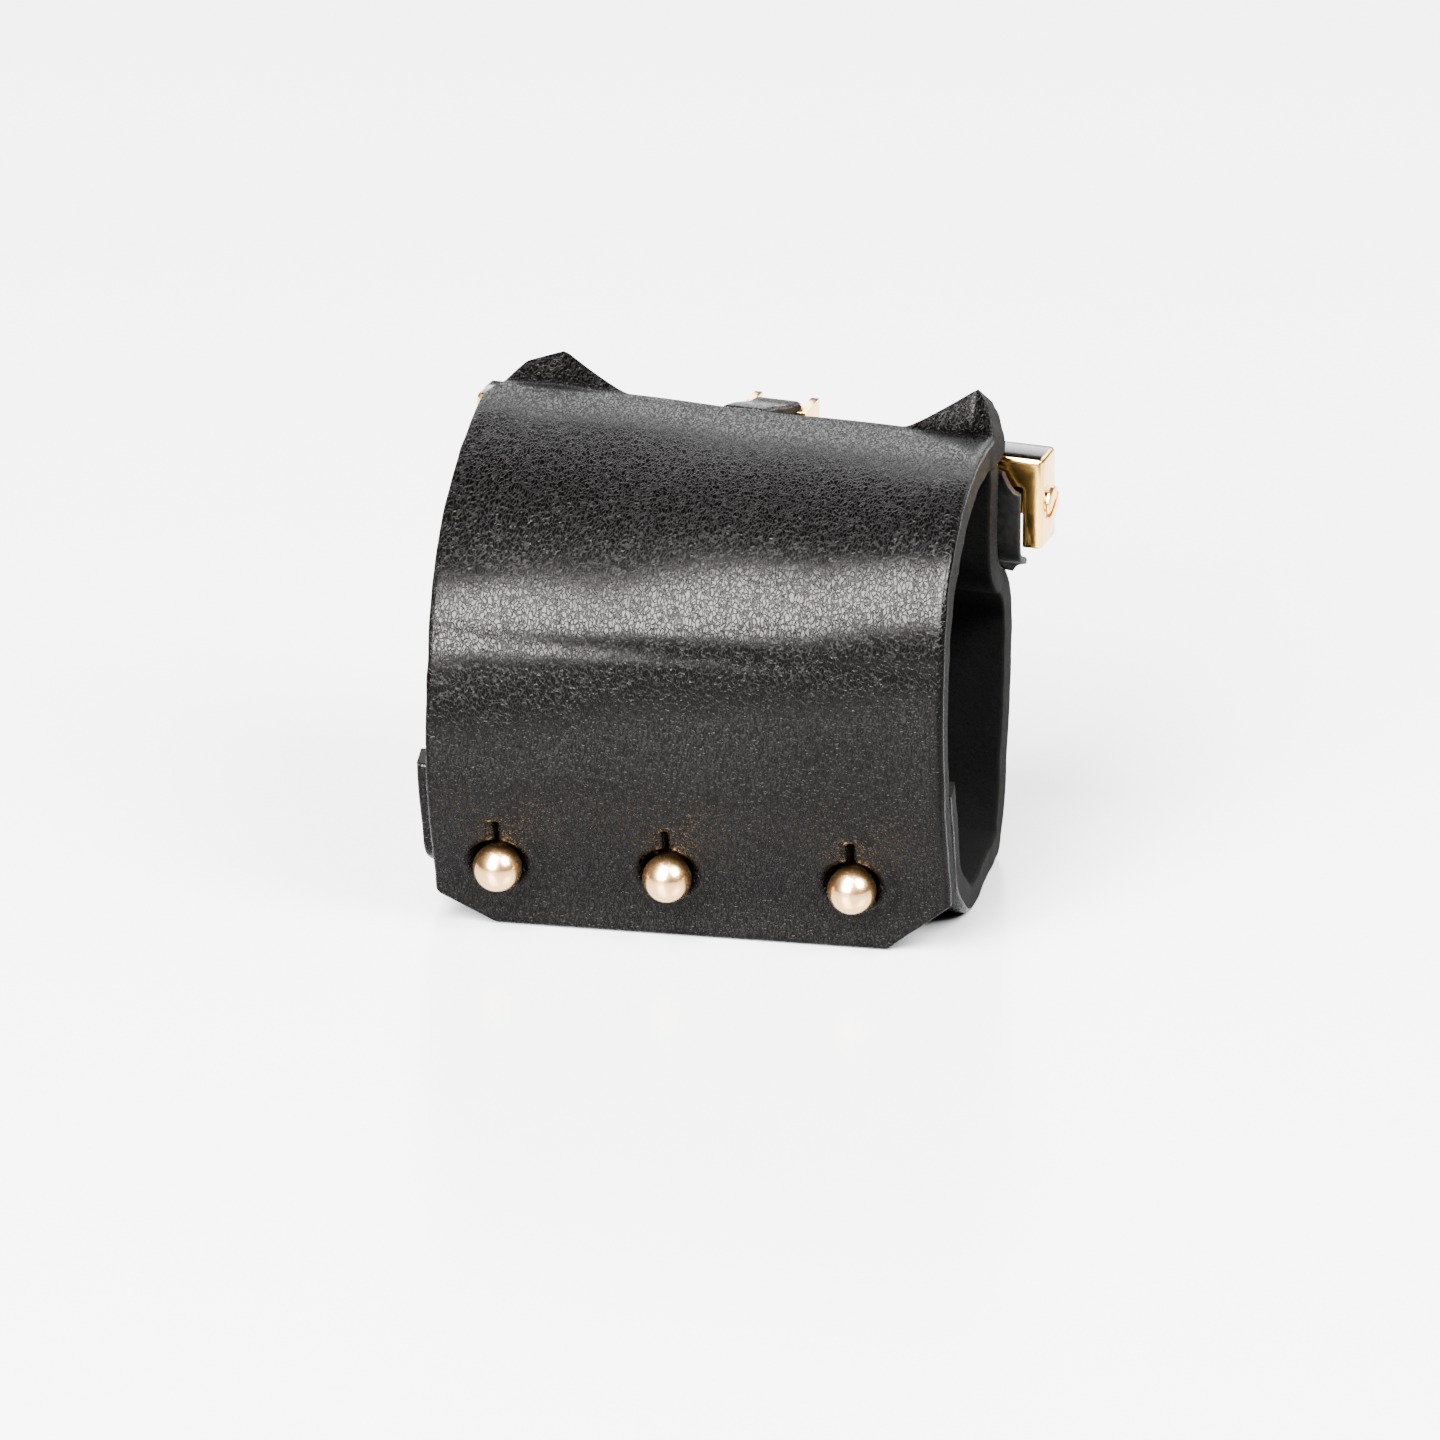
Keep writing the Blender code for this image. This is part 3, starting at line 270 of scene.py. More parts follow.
def grain_leather():
    """Fine pebbled grain that runs with the strap, pores, and a smooth burnished margin; the cracks between
    pebbles carry painted shade.
    """
    look = Look("grain_leather", (0.006, 0.006, 0.006), 0.36, **{"Specular IOR Level": 0.029,
                                                                    "Specular Tint": (1.0, 0.95, 0.93, 1.0)})
    uv = look.use_uv((1.0, 1.0, 1.0))
    spread = look.node("ShaderNodeVectorMath", {0: look.where, 1: (1.0, 0.55, 1.0)},
                       operation="MULTIPLY").outputs[0]
    wander = look.node("ShaderNodeTexNoise", {"Vector": look.where, "Scale": 1.6,
                                              "Detail": 2.0}).outputs["Color"]
    bent = look.node("ShaderNodeMixRGB", {"Fac": 0.3, "Color1": spread, "Color2": wander},
                     blend_type="LINEAR_LIGHT").outputs[0]
    pebbles = look.map(look.cells(4.0, where=bent), 0.03, 0.15, 0.0, 1.0, smooth=True)
    fine = look.noise(7.0, 3.0, 0.65, where=bent)
    across = look.node("ShaderNodeSeparateXYZ", {0: uv}).outputs[0]
    kept = look.map(across, 0.002, 0.012, 0.3, 1.0, smooth=True)
    height = look.maths("ADD", pebbles, look.maths("MULTIPLY", fine, 0.22))
    height = look.maths("MULTIPLY", height, kept)
    height = look.maths("ADD", height, look.maths("MULTIPLY", look.noise(0.5, 2.0, 0.5), 0.9))
    look.bump(height, 0.038)
    # painted shade: the cracks between pebbles are coloured black, the pebble tops a touch lighter
    look.colours(pebbles, (0.1, (0.0, 0.0, 0.0)), (0.9, (0.0001, 0.00008, 0.00007)))
    flat = look.maths("MAXIMUM", pebbles, look.map(kept, 0.3, 0.8, 0.55, 0.0))
    look.set(look.shader, {"Roughness": look.map(flat, 0.0, 1.0, 0.44, 0.2)})
    return look.material


def flesh_leather():
    """The napped inner side."""
    look = Look("flesh_leather", (0.002, 0.002, 0.002), 0.9, **{"Specular IOR Level": 0.02})
    look.use_uv((1.0, 1.0, 1.0))
    nap = look.noise(4.0, 6.0, 0.75, 0.6)
    look.colours(nap, (0.3, (0.0001, 0.0001, 0.0001)), (0.75, (0.0005, 0.0005, 0.0005)))
    look.bump(nap, 0.12)
    return look.material


def cut_leather():
    """A cut edge: fibres in fine plies."""
    look = Look("cut_leather", (0.015, 0.015, 0.015), 0.9, **{"Specular IOR Level": 0.03})
    fibres = look.noise(5200.0, 5.0, 0.7, 0.4)
    lumps = look.noise(1500.0, 3.0, 0.6)
    both = look.maths("ADD", look.maths("MULTIPLY", fibres, 0.6), look.maths("MULTIPLY", lumps, 0.4))
    look.colours(both, (0.36, (0.0002, 0.0002, 0.0002)), (0.68, (0.0021, 0.0020, 0.0019)))
    look.bump(both, 0.14)
    return look.material


def metal(name, colour, shade, smooth, rough, marks=0.006):
    look = Look(name, colour, smooth, 1.0)
    tarnish = look.noise(260.0, 3.0, 0.55)
    look.colours(tarnish, (0.3, shade), (0.7, colour))
    hairlines = look.noise(2400.0, 5.0, 0.7, 0.8)
    worn = look.maths("ADD", look.maths("MULTIPLY", tarnish, 0.5), look.maths("MULTIPLY", hairlines, 0.5))
    look.roughness(worn, smooth, rough)
    look.bump(hairlines, marks)
    return look.material


def black_topped_gold():
    """Gold whose upward-facing faces are coloured near black, for the hinge frame."""
    made = metal("gold_with_black_top", (0.90, 0.55, 0.15), (0.82, 0.47, 0.12), 0.10, 0.19)
    tree = made.node_tree
    shader = tree.nodes["Principled BSDF"]
    normal = tree.nodes.new("ShaderNodeSeparateXYZ")
    tree.links.new(tree.nodes.new("ShaderNodeTexCoord").outputs["Normal"], normal.inputs[0])
    upper = tree.nodes.new("ShaderNodeMapRange")
    upper.inputs[1].default_value, upper.inputs[2].default_value = 0.86, 0.96
    tree.links.new(normal.outputs["Z"], upper.inputs[0])
    # faces whose normal points up are mixed towards near black
    mix = tree.nodes.new("ShaderNodeMixRGB")
    tree.links.new(upper.outputs[0], mix.inputs["Fac"])
    tree.links.new(shader.inputs["Base Color"].links[0].from_socket, mix.inputs["Color1"])
    mix.inputs["Color2"].default_value = (0.02, 0.02, 0.021, 1.0)
    tree.links.new(mix.outputs[0], shader.inputs["Base Color"])
    return made


def rubber():
    look = Look("soft_rubber", (0.002, 0.002, 0.002), 0.55, **{"Specular IOR Level": 0.05})
    skin = look.noise(1800.0, 4.0, 0.6)
    look.colours(skin, (0.3, (0.0003, 0.0003, 0.0003)), (0.7, (0.0009, 0.0009, 0.0009)))
    look.roughness(skin, 0.5, 0.68)
    look.bump(skin, 0.03)
    return look.material


GRAIN, FLESH, CUT = grain_leather(), flesh_leather(), cut_leather()
YELLOW_GOLD = metal("polished_yellow_gold", (0.90, 0.55, 0.15), (0.82, 0.47, 0.12), 0.10, 0.19)
ROSE_GOLD = metal("polished_rose_gold", (0.52, 0.31, 0.135), (0.45, 0.26, 0.11), 0.15, 0.24, 0.004)
STEEL = metal("turned_steel", (0.60, 0.60, 0.62), (0.48, 0.48, 0.50), 0.22, 0.36)
BLACK_PLATE = metal("blackened_plate", (0.050, 0.049, 0.048), (0.028, 0.028, 0.028), 0.26, 0.40)
RUBBER = rubber()


# ---------------------------------------------------------------- shapes
BAND = Matrix.Translation(Vector(BAND_AXES) * MM) @ Matrix.Scale(MM, 4)
FRAME_CENTRE_X = FRAME_RIGHT_END - FRAME_LENGTH / 2 * math.cos(FRAME_YAW)
CLAMP = BAND @ Matrix.Translation((FRAME_CENTRE_X, frame_front(FRAME_CENTRE_X), 0.0)) @ Matrix.Rotation(
    FRAME_YAW, 4, "Z")
PIVOT = CLAMP @ Matrix.Translation((0.0, PIVOT_DEPTH, PIVOT_HEIGHT))


def stud_axes(x):
    """The place and turn of a stud: +Z out of the leather, +Y up along it."""
    curve = front_section(x)
    here = distance_at_height(curve, STUD_HEIGHT)
    y, z = along(curve, here)
    low, high = along(curve, here - 0.5), along(curve, here + 0.5)
    up = Vector((0.0, *(high - low))).normalized()
    side = Vector((1.0, 0.0, 0.0))
    turn = Matrix((side, up, side.cross(up))).transposed().to_4x4()
    return BAND @ Matrix.Translation((x, y, z)) @ turn


STUDS = {name: stud_axes(x) for name, x in STUD_PLACES.items()}


def new_object(name, mesh, matrix, looks):
    mesh.transform(matrix)
    for look in looks:
        mesh.materials.append(look)
    made = bpy.data.objects.new(name, mesh)
    bpy.context.scene.collection.objects.link(made)
    return made


def from_faces(name, points, faces, matrix, looks, smooth=True):
    mesh = bpy.data.meshes.new(name)
    mesh.from_pydata([tuple(p) for p in points], [], faces)
    mesh.shade_smooth() if smooth else mesh.shade_flat()
    return new_object(name, mesh, matrix, looks)


def apply_modifiers(made):
    done = bpy.data.meshes.new_from_object(made.evaluated_get(bpy.context.evaluated_depsgraph_get()))
    made.modifiers.clear()
    old, made.data = made.data, done
    bpy.data.meshes.remove(old)


def subtract(made, cutters):
    """Cuts the shapes out; the new walls keep the cutters' materials."""
    for cutter in cutters:
        step = made.modifiers.new("cut", "BOOLEAN")
        step.operation = "DIFFERENCE"
        step.solver = "EXACT"
        step.object = cutter
    bpy.context.view_layer.update()
    apply_modifiers(made)
    for cutter in cutters:
        bpy.data.objects.remove(cutter, do_unlink=True)


def spaced(total, step, edge=0.5):
    """Distances from 0 to total, closer together near both ends where edges are rounded."""
    near = edge * np.array([0.0, 0.05, 0.16, 0.34, 0.6])
    middle = np.linspace(edge, total - edge, max(int((total - 2 * edge) / step), 2) + 1)
    return np.concatenate([near, middle, (total - near)[::-1]])


def rounded(distance, radius):
    """How far a surface falls away at this distance from an edge of that radius."""
    inside = np.clip(radius - distance, 0.0, radius)
    return radius - np.sqrt(radius**2 - inside**2)


def ragged(rows, right, left, size, seed):
    """Small shifts along X that make both side edges uneven; right and left are distances from them."""
    shift = 0.0
    for away, sign in ((right, 1), (left, -1)):
        noise = np.random.default_rng(seed + sign).normal(size=len(rows) + 8)
        uneven = np.convolve(noise, np.hanning(9) / 2, mode="same")[4:-4]
        shift = shift + size * uneven[:, None] * np.exp(-np.maximum(away, 0.0) / 0.8)
    return shift


def thick_sheet(name, grid, uv, thickness, outer_fall, inner_fall, outward, matrix, looks):
    """A grid of points (rows, columns, 3), thickened away from its outward side, with its edges closed."""
    across, down = np.gradient(grid, axis=1), np.gradient(grid, axis=0)
    normal = np.cross(down, across)
    normal /= np.linalg.norm(normal, axis=2, keepdims=True)
    rows, columns = grid.shape[:2]
    normal[:5], normal[-5:] = normal[5], normal[-6]
    normal[:, :5], normal[:, -5:] = normal[:, 5:6], normal[:, -6:-5]
    flip = np.dot(normal[2, columns // 2], outward) < 0
    normal = -normal if flip else normal
    outer = grid - normal * outer_fall[..., None]
    inner = grid - normal * (thickness - inner_fall)[..., None]
    points = np.concatenate([outer.reshape(-1, 3), inner.reshape(-1, 3)])
    index = np.arange(rows * columns).reshape(rows, columns)
    far = index + rows * columns
    quads = np.stack([index[:-1, :-1], index[1:, :-1], index[1:, 1:], index[:-1, 1:]], axis=-1).reshape(-1, 4)
    ring = np.concatenate([index[0, :-1], index[:-1, -1], index[-1, :0:-1], index[:0:-1, 0]])
    ahead = np.roll(ring, -1)
    rim = np.stack([ring, ahead, ahead + rows * columns, ring + rows * columns], axis=-1)
    faces = np.concatenate([quads, (quads + rows * columns)[:, ::-1], rim])
    if flip:
        faces = faces[:, ::-1]
    mesh = bpy.data.meshes.new(name)
    mesh.from_pydata(points.tolist(), [], faces.tolist())
    marks = np.concatenate([np.zeros(len(quads)), np.ones(len(quads)), np.full(len(rim), 2)]).astype(int)
    mesh.polygons.foreach_set("material_index", np.minimum(marks, len(looks) - 1))
    flat = np.concatenate([uv.reshape(-1, 2), uv.reshape(-1, 2) + (0.5, 0.0)]) if len(looks) > 1 else np.tile(
        uv.reshape(-1, 2), (2, 1))
    layer = mesh.uv_layers.new(name="surface")
    corner = np.empty(len(mesh.loops), int)
    mesh.loops.foreach_get("vertex_index", corner)
    layer.data.foreach_set("uv", flat[corner].ravel().astype(np.float32))
    mesh.shade_smooth()
    mesh.validate()
    return new_object(name, mesh, matrix, looks)


def revolve(name, profile, matrix, look, steps=56, slot=None, axis="Z"):
    """A profile of (radius, height) turned about an axis, with an optional screwdriver slot in its end."""
    turn = {"Z": Matrix.Identity(4), "X": Matrix.Rotation(math.pi / 2, 4, "Y"),
            "Y": Matrix.Rotation(-math.pi / 2, 4, "X")}[axis]
    angles = np.arange(steps) * 2 * math.pi / steps
    points, rings = [], []
    for radius, height in profile:
        if radius < 1e-6:
            rings.append([len(points)])
            points.append((0.0, 0.0, height))
        else:
            rings.append(list(range(len(points), len(points) + steps)))
            points += [(radius * math.cos(a), radius * math.sin(a), height) for a in angles]
    faces = []
    for a, b in zip(rings, rings[1:] + ([rings[0]] if len(rings[0]) > 1 and len(rings[-1]) > 1 else [])):
        for i in range(steps):
            j = (i + 1) % steps
            if len(a) == 1:
                faces.append((a[0], b[i], b[j]))
            elif len(b) == 1:
                faces.append((a[j], a[i], b[0]))
            else:
                faces.append((a[i], b[i], b[j], a[j]))
    mesh = bpy.data.meshes.new(name)
    mesh.from_pydata(points, [], faces)
    tidy = bmesh.new()
    tidy.from_mesh(mesh)
    bmesh.ops.recalc_face_normals(tidy, faces=tidy.faces)
    tidy.to_mesh(mesh)
    tidy.free()
    made = new_object(name, mesh, matrix @ turn, [look])
    if slot:
        subtract(made, [block(f"{name}_slot", low, high, matrix @ turn @ spin, look)
                        for low, high, spin in slot])
    soften(made)
    return made


def block(name, low, high, matrix, look):
    (a, b, c), (d, e, f) = low, high
    points = [(x, y, z) for x in (a, d) for y in (b, e) for z in (c, f)]
    faces = [(0, 1, 3, 2), (4, 6, 7, 5), (0, 4, 5, 1), (2, 3, 7, 6), (0, 2, 6, 4), (1, 5, 7, 3)]
    return from_faces(name, points, faces, matrix, [look], smooth=False)


def soften(made, angle=32.0):
    made.data.shade_smooth()
    made.data.set_sharp_from_angle(angle=math.radians(angle))


def arc(centre, radius, start, end, count):
    """(radius, height) points on an arc; angles from +Z, in degrees."""
    return [(centre[0] + radius * math.sin(math.radians(a)), centre[1] + radius * math.cos(math.radians(a)))
            for a in np.linspace(start, end, count)]


# ---------------------------------------------------------------- leather
def shaped_ends(s, length):
    """X of both edges of the front leather at a distance s from its bottom edge, where it is chamfered;
    its rear corners are rounded."""
    right = -CHAMFER_RIGHT[0] * np.clip(1.0 - s / CHAMFER_RIGHT[1], 0.0, 1.0)
    right = right - 1.3 * np.clip(1.0 - (length - s) / 2.6, 0.0, 1.0) ** 2
    left = -BAND_LENGTH + CHAMFER_LEFT[0] * np.clip(1.0 - s / CHAMFER_LEFT[1], 0.0, 1.0)
    left = left + 2.2 * np.clip(1.0 - (length - s) / 4.4, 0.0, 1.0) ** 2
    return right, left


def section_table(section, xs, rows, shared=None):
    """Y and Z over (place along X, row): rows are distances, stretched beyond shared to each section's end."""
    longest = max(run_of(section(x))[-1] for x in (xs[0], xs[len(xs) // 2], xs[-1]))
    scale = rows[-1]
    table = []
    for x in xs:
        curve = section(x)
        end = run_of(curve)[-1]
        at = rows * end / scale
        if shared:
            at = np.where(rows < shared, rows, shared + (rows - shared) * (end - shared) / (scale - shared))
        table.append(along(curve, at))
    return np.array(table)


def keyhole_distance(across, up):
    """Distance from a keyhole's outline: a round hole with a slit above it."""
    hole = np.hypot(across, up - HOLE_LIFT) - HOLE_RADIUS
    slit = np.hypot(np.maximum(np.abs(across) - SLIT_WIDTH / 2, 0.0), np.maximum(up - SLIT_REACH, 0.0))
    slit = np.where(up > 0.0, slit, 9.0)
    return np.minimum(hole, slit)


def keyhole_cutter(name, matrix):
    top = SLIT_REACH - SLIT_WIDTH / 2
    half = SLIT_WIDTH / 2
    start = math.asin(half / HOLE_RADIUS)
    outline = [(HOLE_RADIUS * math.sin(a), HOLE_LIFT + HOLE_RADIUS * math.cos(a))
               for a in np.linspace(start, 2 * math.pi - start, 72)]
    outline += [(-half * math.cos(a), top + half * math.sin(a)) for a in np.linspace(0.0, math.pi, 9)]
    count = len(outline)
    points = [(x, y, -1.4 * LEATHER) for x, y in outline] + [(x, y, LEATHER) for x, y in outline]
    sides = [(i, (i + 1) % count, (i + 1) % count + count, i + count) for i in range(count)]
    faces = sides + [tuple(range(count))[::-1], tuple(range(count, 2 * count))]
    made = from_faces(name, points, faces, matrix, [GRAIN, FLESH, CUT])
    tidy = bmesh.new()
    tidy.from_mesh(made.data)
    bmesh.ops.recalc_face_normals(tidy, faces=tidy.faces)
    for face in tidy.faces:
        face.material_index = 2
    tidy.to_mesh(made.data)
    tidy.free()
    return made


def front_leather():
    shares = spaced(BAND_LENGTH, 0.26, 0.5) / BAND_LENGTH
    length = run_of(front_section(-BAND_LENGTH / 2))[-1]
    low, high = spaced(11.0, 0.24, 0.5)[:-5], spaced(length - 11.0, 0.34, 0.5)[5:] + 11.0
    rows = np.concatenate([low, high])
    xs = np.linspace(0.0, -BAND_LENGTH, 97)
    table = section_table(front_section, xs, rows, shared=30.0)
    right, left = shaped_ends(rows, length)
    x = right[:, None] + (left - right)[:, None] * shares[None, :]
    y = np.array([np.interp(-x[i], -xs, table[:, i, 0]) for i in range(len(rows))])
    z = np.array([np.interp(-x[i], -xs, table[:, i, 1]) for i in range(len(rows))])
    s = np.repeat(rows[:, None], len(shares), axis=1)
    edge = np.minimum(np.minimum(right[:, None] - x, x - left[:, None]), s)
    fall = rounded(edge, 0.38) + rounded(length - s, 0.12)
    for place in STUD_PLACES.values():
        up = s - distance_at_height(front_section(place), STUD_HEIGHT)
        away = keyhole_distance(x - place, up)
        fall += rounded(np.maximum(away, 0.0), 0.5) - 0.14 * np.exp(-((away - 0.7) / 0.8) ** 2)
    waves = 0.05 * np.sin(x / 4.1 + s / 9.0) + 0.035 * np.sin(x / 2.3 - s / 5.0 + 1.0)
    waves = waves + 0.03 * np.sin(s / 1.9 + x / 13.0)
    fall += waves * np.clip(edge / 3.0, 0.0, 1.0) + 0.07 * np.exp(-(((z - 23.4) / 0.7) ** 2))
    bow = 0.45 * np.exp(-(((z - 30.5) / 5.5) ** 2))
    worn = ragged(rows, right[:, None] - x, x - left[:, None], 0.02, 5)
    grid = np.stack([x - bow * shares[None, :] ** 4 + worn, y, z], axis=-1)
    uv = np.stack([-x, s], axis=-1) / UV_SPAN
    inner = rounded(edge, 0.2) + 0.012 * np.sin(x * 3.1 + 2.0 * np.sin(s * 1.7))
    made = thick_sheet("front_leather", grid, uv, LEATHER, fall, inner, (0.0, -1.0, 0.0), BAND,
                       [GRAIN, FLESH, CUT])
    subtract(made, [keyhole_cutter(f"keyhole_{name}", axes) for name, axes in STUDS.items()])
    soften(made, 48.0)
    return made


def back_leather():
    start, end = 0.0, -BAND_LENGTH - INNER_END_PROUD
    across = spaced(-end, 0.42, 0.5)
    length = run_of(back_section(-BAND_LENGTH / 2))[-1]
    rows = spaced(length, 0.4, 0.5)
    xs = np.linspace(start, end, 61)
    table = section_table(back_section, xs, rows)
    x = np.repeat(-across[None, :], len(rows), axis=0)
    y = np.array([np.interp(across, -xs, table[:, i, 0]) for i in range(len(rows))])
    z = np.array([np.interp(across, -xs, table[:, i, 1]) for i in range(len(rows))])
    s = np.repeat(rows[:, None], len(across), axis=1)
    edge = np.minimum(np.minimum(-x, x - end), np.minimum(s, length - s))
    fall = rounded(edge, 0.34) + 0.03 * np.sin(x / 3.0 + s / 4.0) * np.clip(edge / 3.0, 0.0, 1.0) * (z > 0.5)
    inner = rounded(edge, 0.2) + 0.012 * np.sin(x * 2.3 + 2.0 * np.sin(s * 1.3))
    worn = ragged(rows, -x, x - end, 0.025, 11)
    grid = np.stack([x + worn, y, z], axis=-1)
    uv = np.stack([-x, s], axis=-1) / UV_SPAN
    made = thick_sheet("back_leather", grid, uv, LEATHER, fall, inner, (0.0, -1.0, 0.0), BAND,
                       [GRAIN, FLESH, CUT])
    soften(made, 48.0)
    return made


def pull_tab():
    crown = front_section(FRAME_CENTRE_X)[-1]
    start = crown[0] - frame_front(FRAME_CENTRE_X) + 0.15
    back = CLIP_BACK - CLIP_WALL - GAP
    rail = FRAME_TOP - RAIL_NOTCH
    path = curve_through([
        (start, crown[1]), (start + 2.3, crown[1] - 0.6), (2.4, rail + TAB_THICKNESS + 0.75),
        (back - 0.8, rail + 1.25), (back, rail - 1.0), (back, FRAME_TOP - 3.5),
    ])
    length = run_of(path)[-1]
    rows, across = spaced(length, 0.3, 0.3), spaced(TAB_WIDTH, 0.3, 0.3) - TAB_WIDTH / 2
    at = along(path, rows)
    x = np.repeat(across[None, :], len(rows), axis=0)
    y = np.repeat(at[:, :1], len(across), axis=1)
    z = np.repeat(at[:, 1:], len(across), axis=1)
    grid = np.stack([x, y, z], axis=-1)
    s = np.repeat(rows[:, None], len(across), axis=1)
    edge = np.minimum(np.minimum(TAB_WIDTH / 2 - x, TAB_WIDTH / 2 + x), np.minimum(s, length - s))
    uv = np.stack([x + 30.0, s], axis=-1) / UV_SPAN
    return thick_sheet("tab_leather", grid, uv, TAB_THICKNESS, rounded(edge, 0.25), rounded(edge, 0.2),
                       (0.0, 0.0, 1.0), CLAMP, [GRAIN, FLESH, CUT])


def seat_pad():
    places = spaced(BAND_LENGTH + PAD_RIGHT + PAD_LEFT, 0.8, 0.15) - PAD_RIGHT
    sections = np.array([pad_section(-place) for place in places]).transpose(1, 0, 2)
    x = np.repeat(-places[None, :], sections.shape[0], axis=0)
    s = np.repeat(run_of(sections[:, 0])[:, None], len(places), axis=1)
    top = s if sections[0, 0, 1] > sections[-1, 0, 1] else s.max() - s
    trim = 0.8 * np.clip(1.0 - top / 1.7, 0.0, 1.0) ** 0.5
    trim = trim + 0.75 * np.clip(1.0 - (s.max() - top) / 2.0, 0.0, 1.0) ** 0.5
    x = np.where(x > 0.0, x * (1.0 - trim), x)
    grid = np.concatenate([x[..., None], sections], axis=-1)
    sides = np.minimum(places + PAD_RIGHT, BAND_LENGTH + PAD_LEFT - places)[None, :]
    edge = np.minimum(sides, np.minimum(s, s.max() - s))
    fall = rounded(edge, 0.15)
    uv = np.stack([-x, s], axis=-1) / UV_SPAN
    return thick_sheet("seat_pad", grid, uv, PAD_THICKNESS, fall, fall * 0.8, (0.0, 1.0, 1.0), BAND, [RUBBER])


# ---------------------------------------------------------------- metal
def stud(name, axes):
    last = 180.0 - math.degrees(math.asin(NECK_RADIUS / BALL_RADIUS))
    profile = arc((0.0, BALL_PROUD), BALL_RADIUS, 0.0, last, 30)
    profile += [(NECK_RADIUS, -1.55), (NECK_RADIUS, -4.5), (0.86, -4.5), (0.86, -1.5), (0.0, -1.4)]
    return revolve(f"ball_stud_{name}", profile, axes, ROSE_GOLD, steps=72)


def stud_washer(name, axes):
    profile = [(0.92, -4.93), (0.92, -5.27), (1.0, -5.31), (1.85, -5.31), (1.97, -5.25), (2.0, -5.12),
               (1.97, -4.97), (1.85, -4.91), (1.0, -4.91)]
    return revolve(f"washer_{name}", profile, axes, STEEL)


def stud_screw(name, axes):
    top, low = -5.55, -6.25
    half = SCREW_SLOT / 2
    profile = [(0.0, -1.85), (0.5, -1.88), (0.64, -2.1), (0.64, top), (1.5, top), (1.6, top - 0.1),
               (1.6, low + 0.35), (1.5, low + 0.14), (1.25, low + 0.02), (0.0, low)]
    slot = [((-3.0, -half, low - 0.3), (3.0, half, low + 0.3), Matrix.Rotation(0.4, 4, "Z"))]
    return revolve(f"screw_{name}", profile, axes, STEEL, slot=slot)


def shaft():
    seat = FRAME_LENGTH / 2 + RUNNING
    end = seat + 0.28
    half = [(0.0, end + 0.02), (0.9, end), (1.1, end - 0.04), (1.22, end - 0.1), (1.25, end - 0.2),
            (1.25, seat), (SHAFT_RADIUS, seat)]
    profile = half + [(radius, -height) for radius, height in reversed(half)]
    spin = Matrix.Rotation(math.radians(35.0) - math.pi / 2, 4, "Z")
    wide = SCREW_SLOT / 2
    slot = [((-3.0, -wide, sign * end - 0.3), (3.0, wide, sign * end + 0.3), spin) for sign in (-1, 1)]
    return revolve("hinge_shaft", profile, PIVOT, YELLOW_GOLD, slot=slot, axis="X")


def sleeve(name, sign):
    start = FORK_HALF + BARREL_LENGTH + GAP
    end = FRAME_LENGTH / 2 - 1.5 - GAP
    profile = [(0.93, start), (1.04, start + 0.02), (1.1, start + 0.1), (1.1, end - 0.1), (1.04, end - 0.02),
               (0.93, end)]
    return revolve(f"sleeve_{name}", profile, PIVOT @ Matrix.Scale(sign, 4, (1, 0, 0)), RUBBER, axis="X")


def lever():
    bulge = DEPTH_RIGHT - frame_front(0.0)
    down = bulge + 0.6 + 1.2 - PIVOT_DEPTH
    path = curve_through([
        (0.0, 0.0), (0.5, -2.2), (2.0, -4.6), (0.83 * down, -6.8), (down, -9.6), (down, -13.6),
        (down - 0.7, -17.4), (down + 0.6, -20.0),
    ], 14)
    length = run_of(path)[-1]
    rows = spaced(length, 0.3, 0.35)
    share = rows / length
    waist = 1.0 - 0.12 * np.sin(math.pi * np.minimum(share / 0.7, 1.0))
    tip = np.maximum(share - 0.84, 0.0) / 0.16
    half = 6.0 * waist * np.sqrt(np.maximum(1.0 - 0.72 * tip**2, 0.0))
    across = spaced(2.0, 0.06, 0.07) - 1.0
    at = along(path, rows)
    x = half[:, None] * across[None, :]
    y = np.repeat(at[:, :1] + 0.6, len(across), axis=1)
    z = np.repeat(at[:, 1:], len(across), axis=1)
    s = np.repeat(rows[:, None], len(across), axis=1)
    edge = np.minimum(half[:, None] - np.abs(x), np.minimum(s, length - s))
    dish = 0.12 * np.exp(-((x / 3.6) ** 2) - ((s - length + 3.6) / 2.4) ** 2)
    fall = rounded(edge, 0.34) + dish
    uv = np.stack([x + 10.0, s], axis=-1) / UV_SPAN
    made = thick_sheet("thumb_lever", np.stack([x, y, z], axis=-1), uv, 1.2, fall, rounded(edge, 0.3),
                       (0.0, 1.0, 0.0), PIVOT, [YELLOW_GOLD])
    fork = block("fork", (-FORK_HALF, -9.0, -6.6), (FORK_HALF, 9.0, 9.0), PIVOT, YELLOW_GOLD)
    subtract(made, [fork])
    soften(made, 40.0)
    barrels = []
    for sign in (-1, 1):
        low, high = FORK_HALF, FORK_HALF + BARREL_LENGTH
        profile = [(0.92, low), (1.33, low), (1.43, low + 0.05), (1.45, low + 0.14), (1.45, high - 0.14),
                   (1.43, high - 0.05), (1.33, high), (0.92, high)]
        mirror = Matrix.Scale(sign, 4, (1, 0, 0))
        barrels.append(revolve(f"barrel_{sign + 1}", profile, PIVOT @ mirror, YELLOW_GOLD, axis="X"))
    return [made, *barrels]


def dress(name, look, bevel=None, turn=30.0):
    """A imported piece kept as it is, with softened edges and a finish of its own."""
    piece = NODES[name]
    piece.data.materials.clear()
    piece.data.materials.append(look)
    weld = piece.modifiers.new("weld", "WELD")
    weld.merge_threshold = 0.000002
    if bevel:
        edges = piece.modifiers.new("edges", "BEVEL")
        edges.width = bevel * MM
        edges.segments = 3
        edges.limit_method = "ANGLE"
        edges.angle_limit = math.radians(turn)
        edges.harden_normals = True
    piece.data.shade_smooth()
    return piece


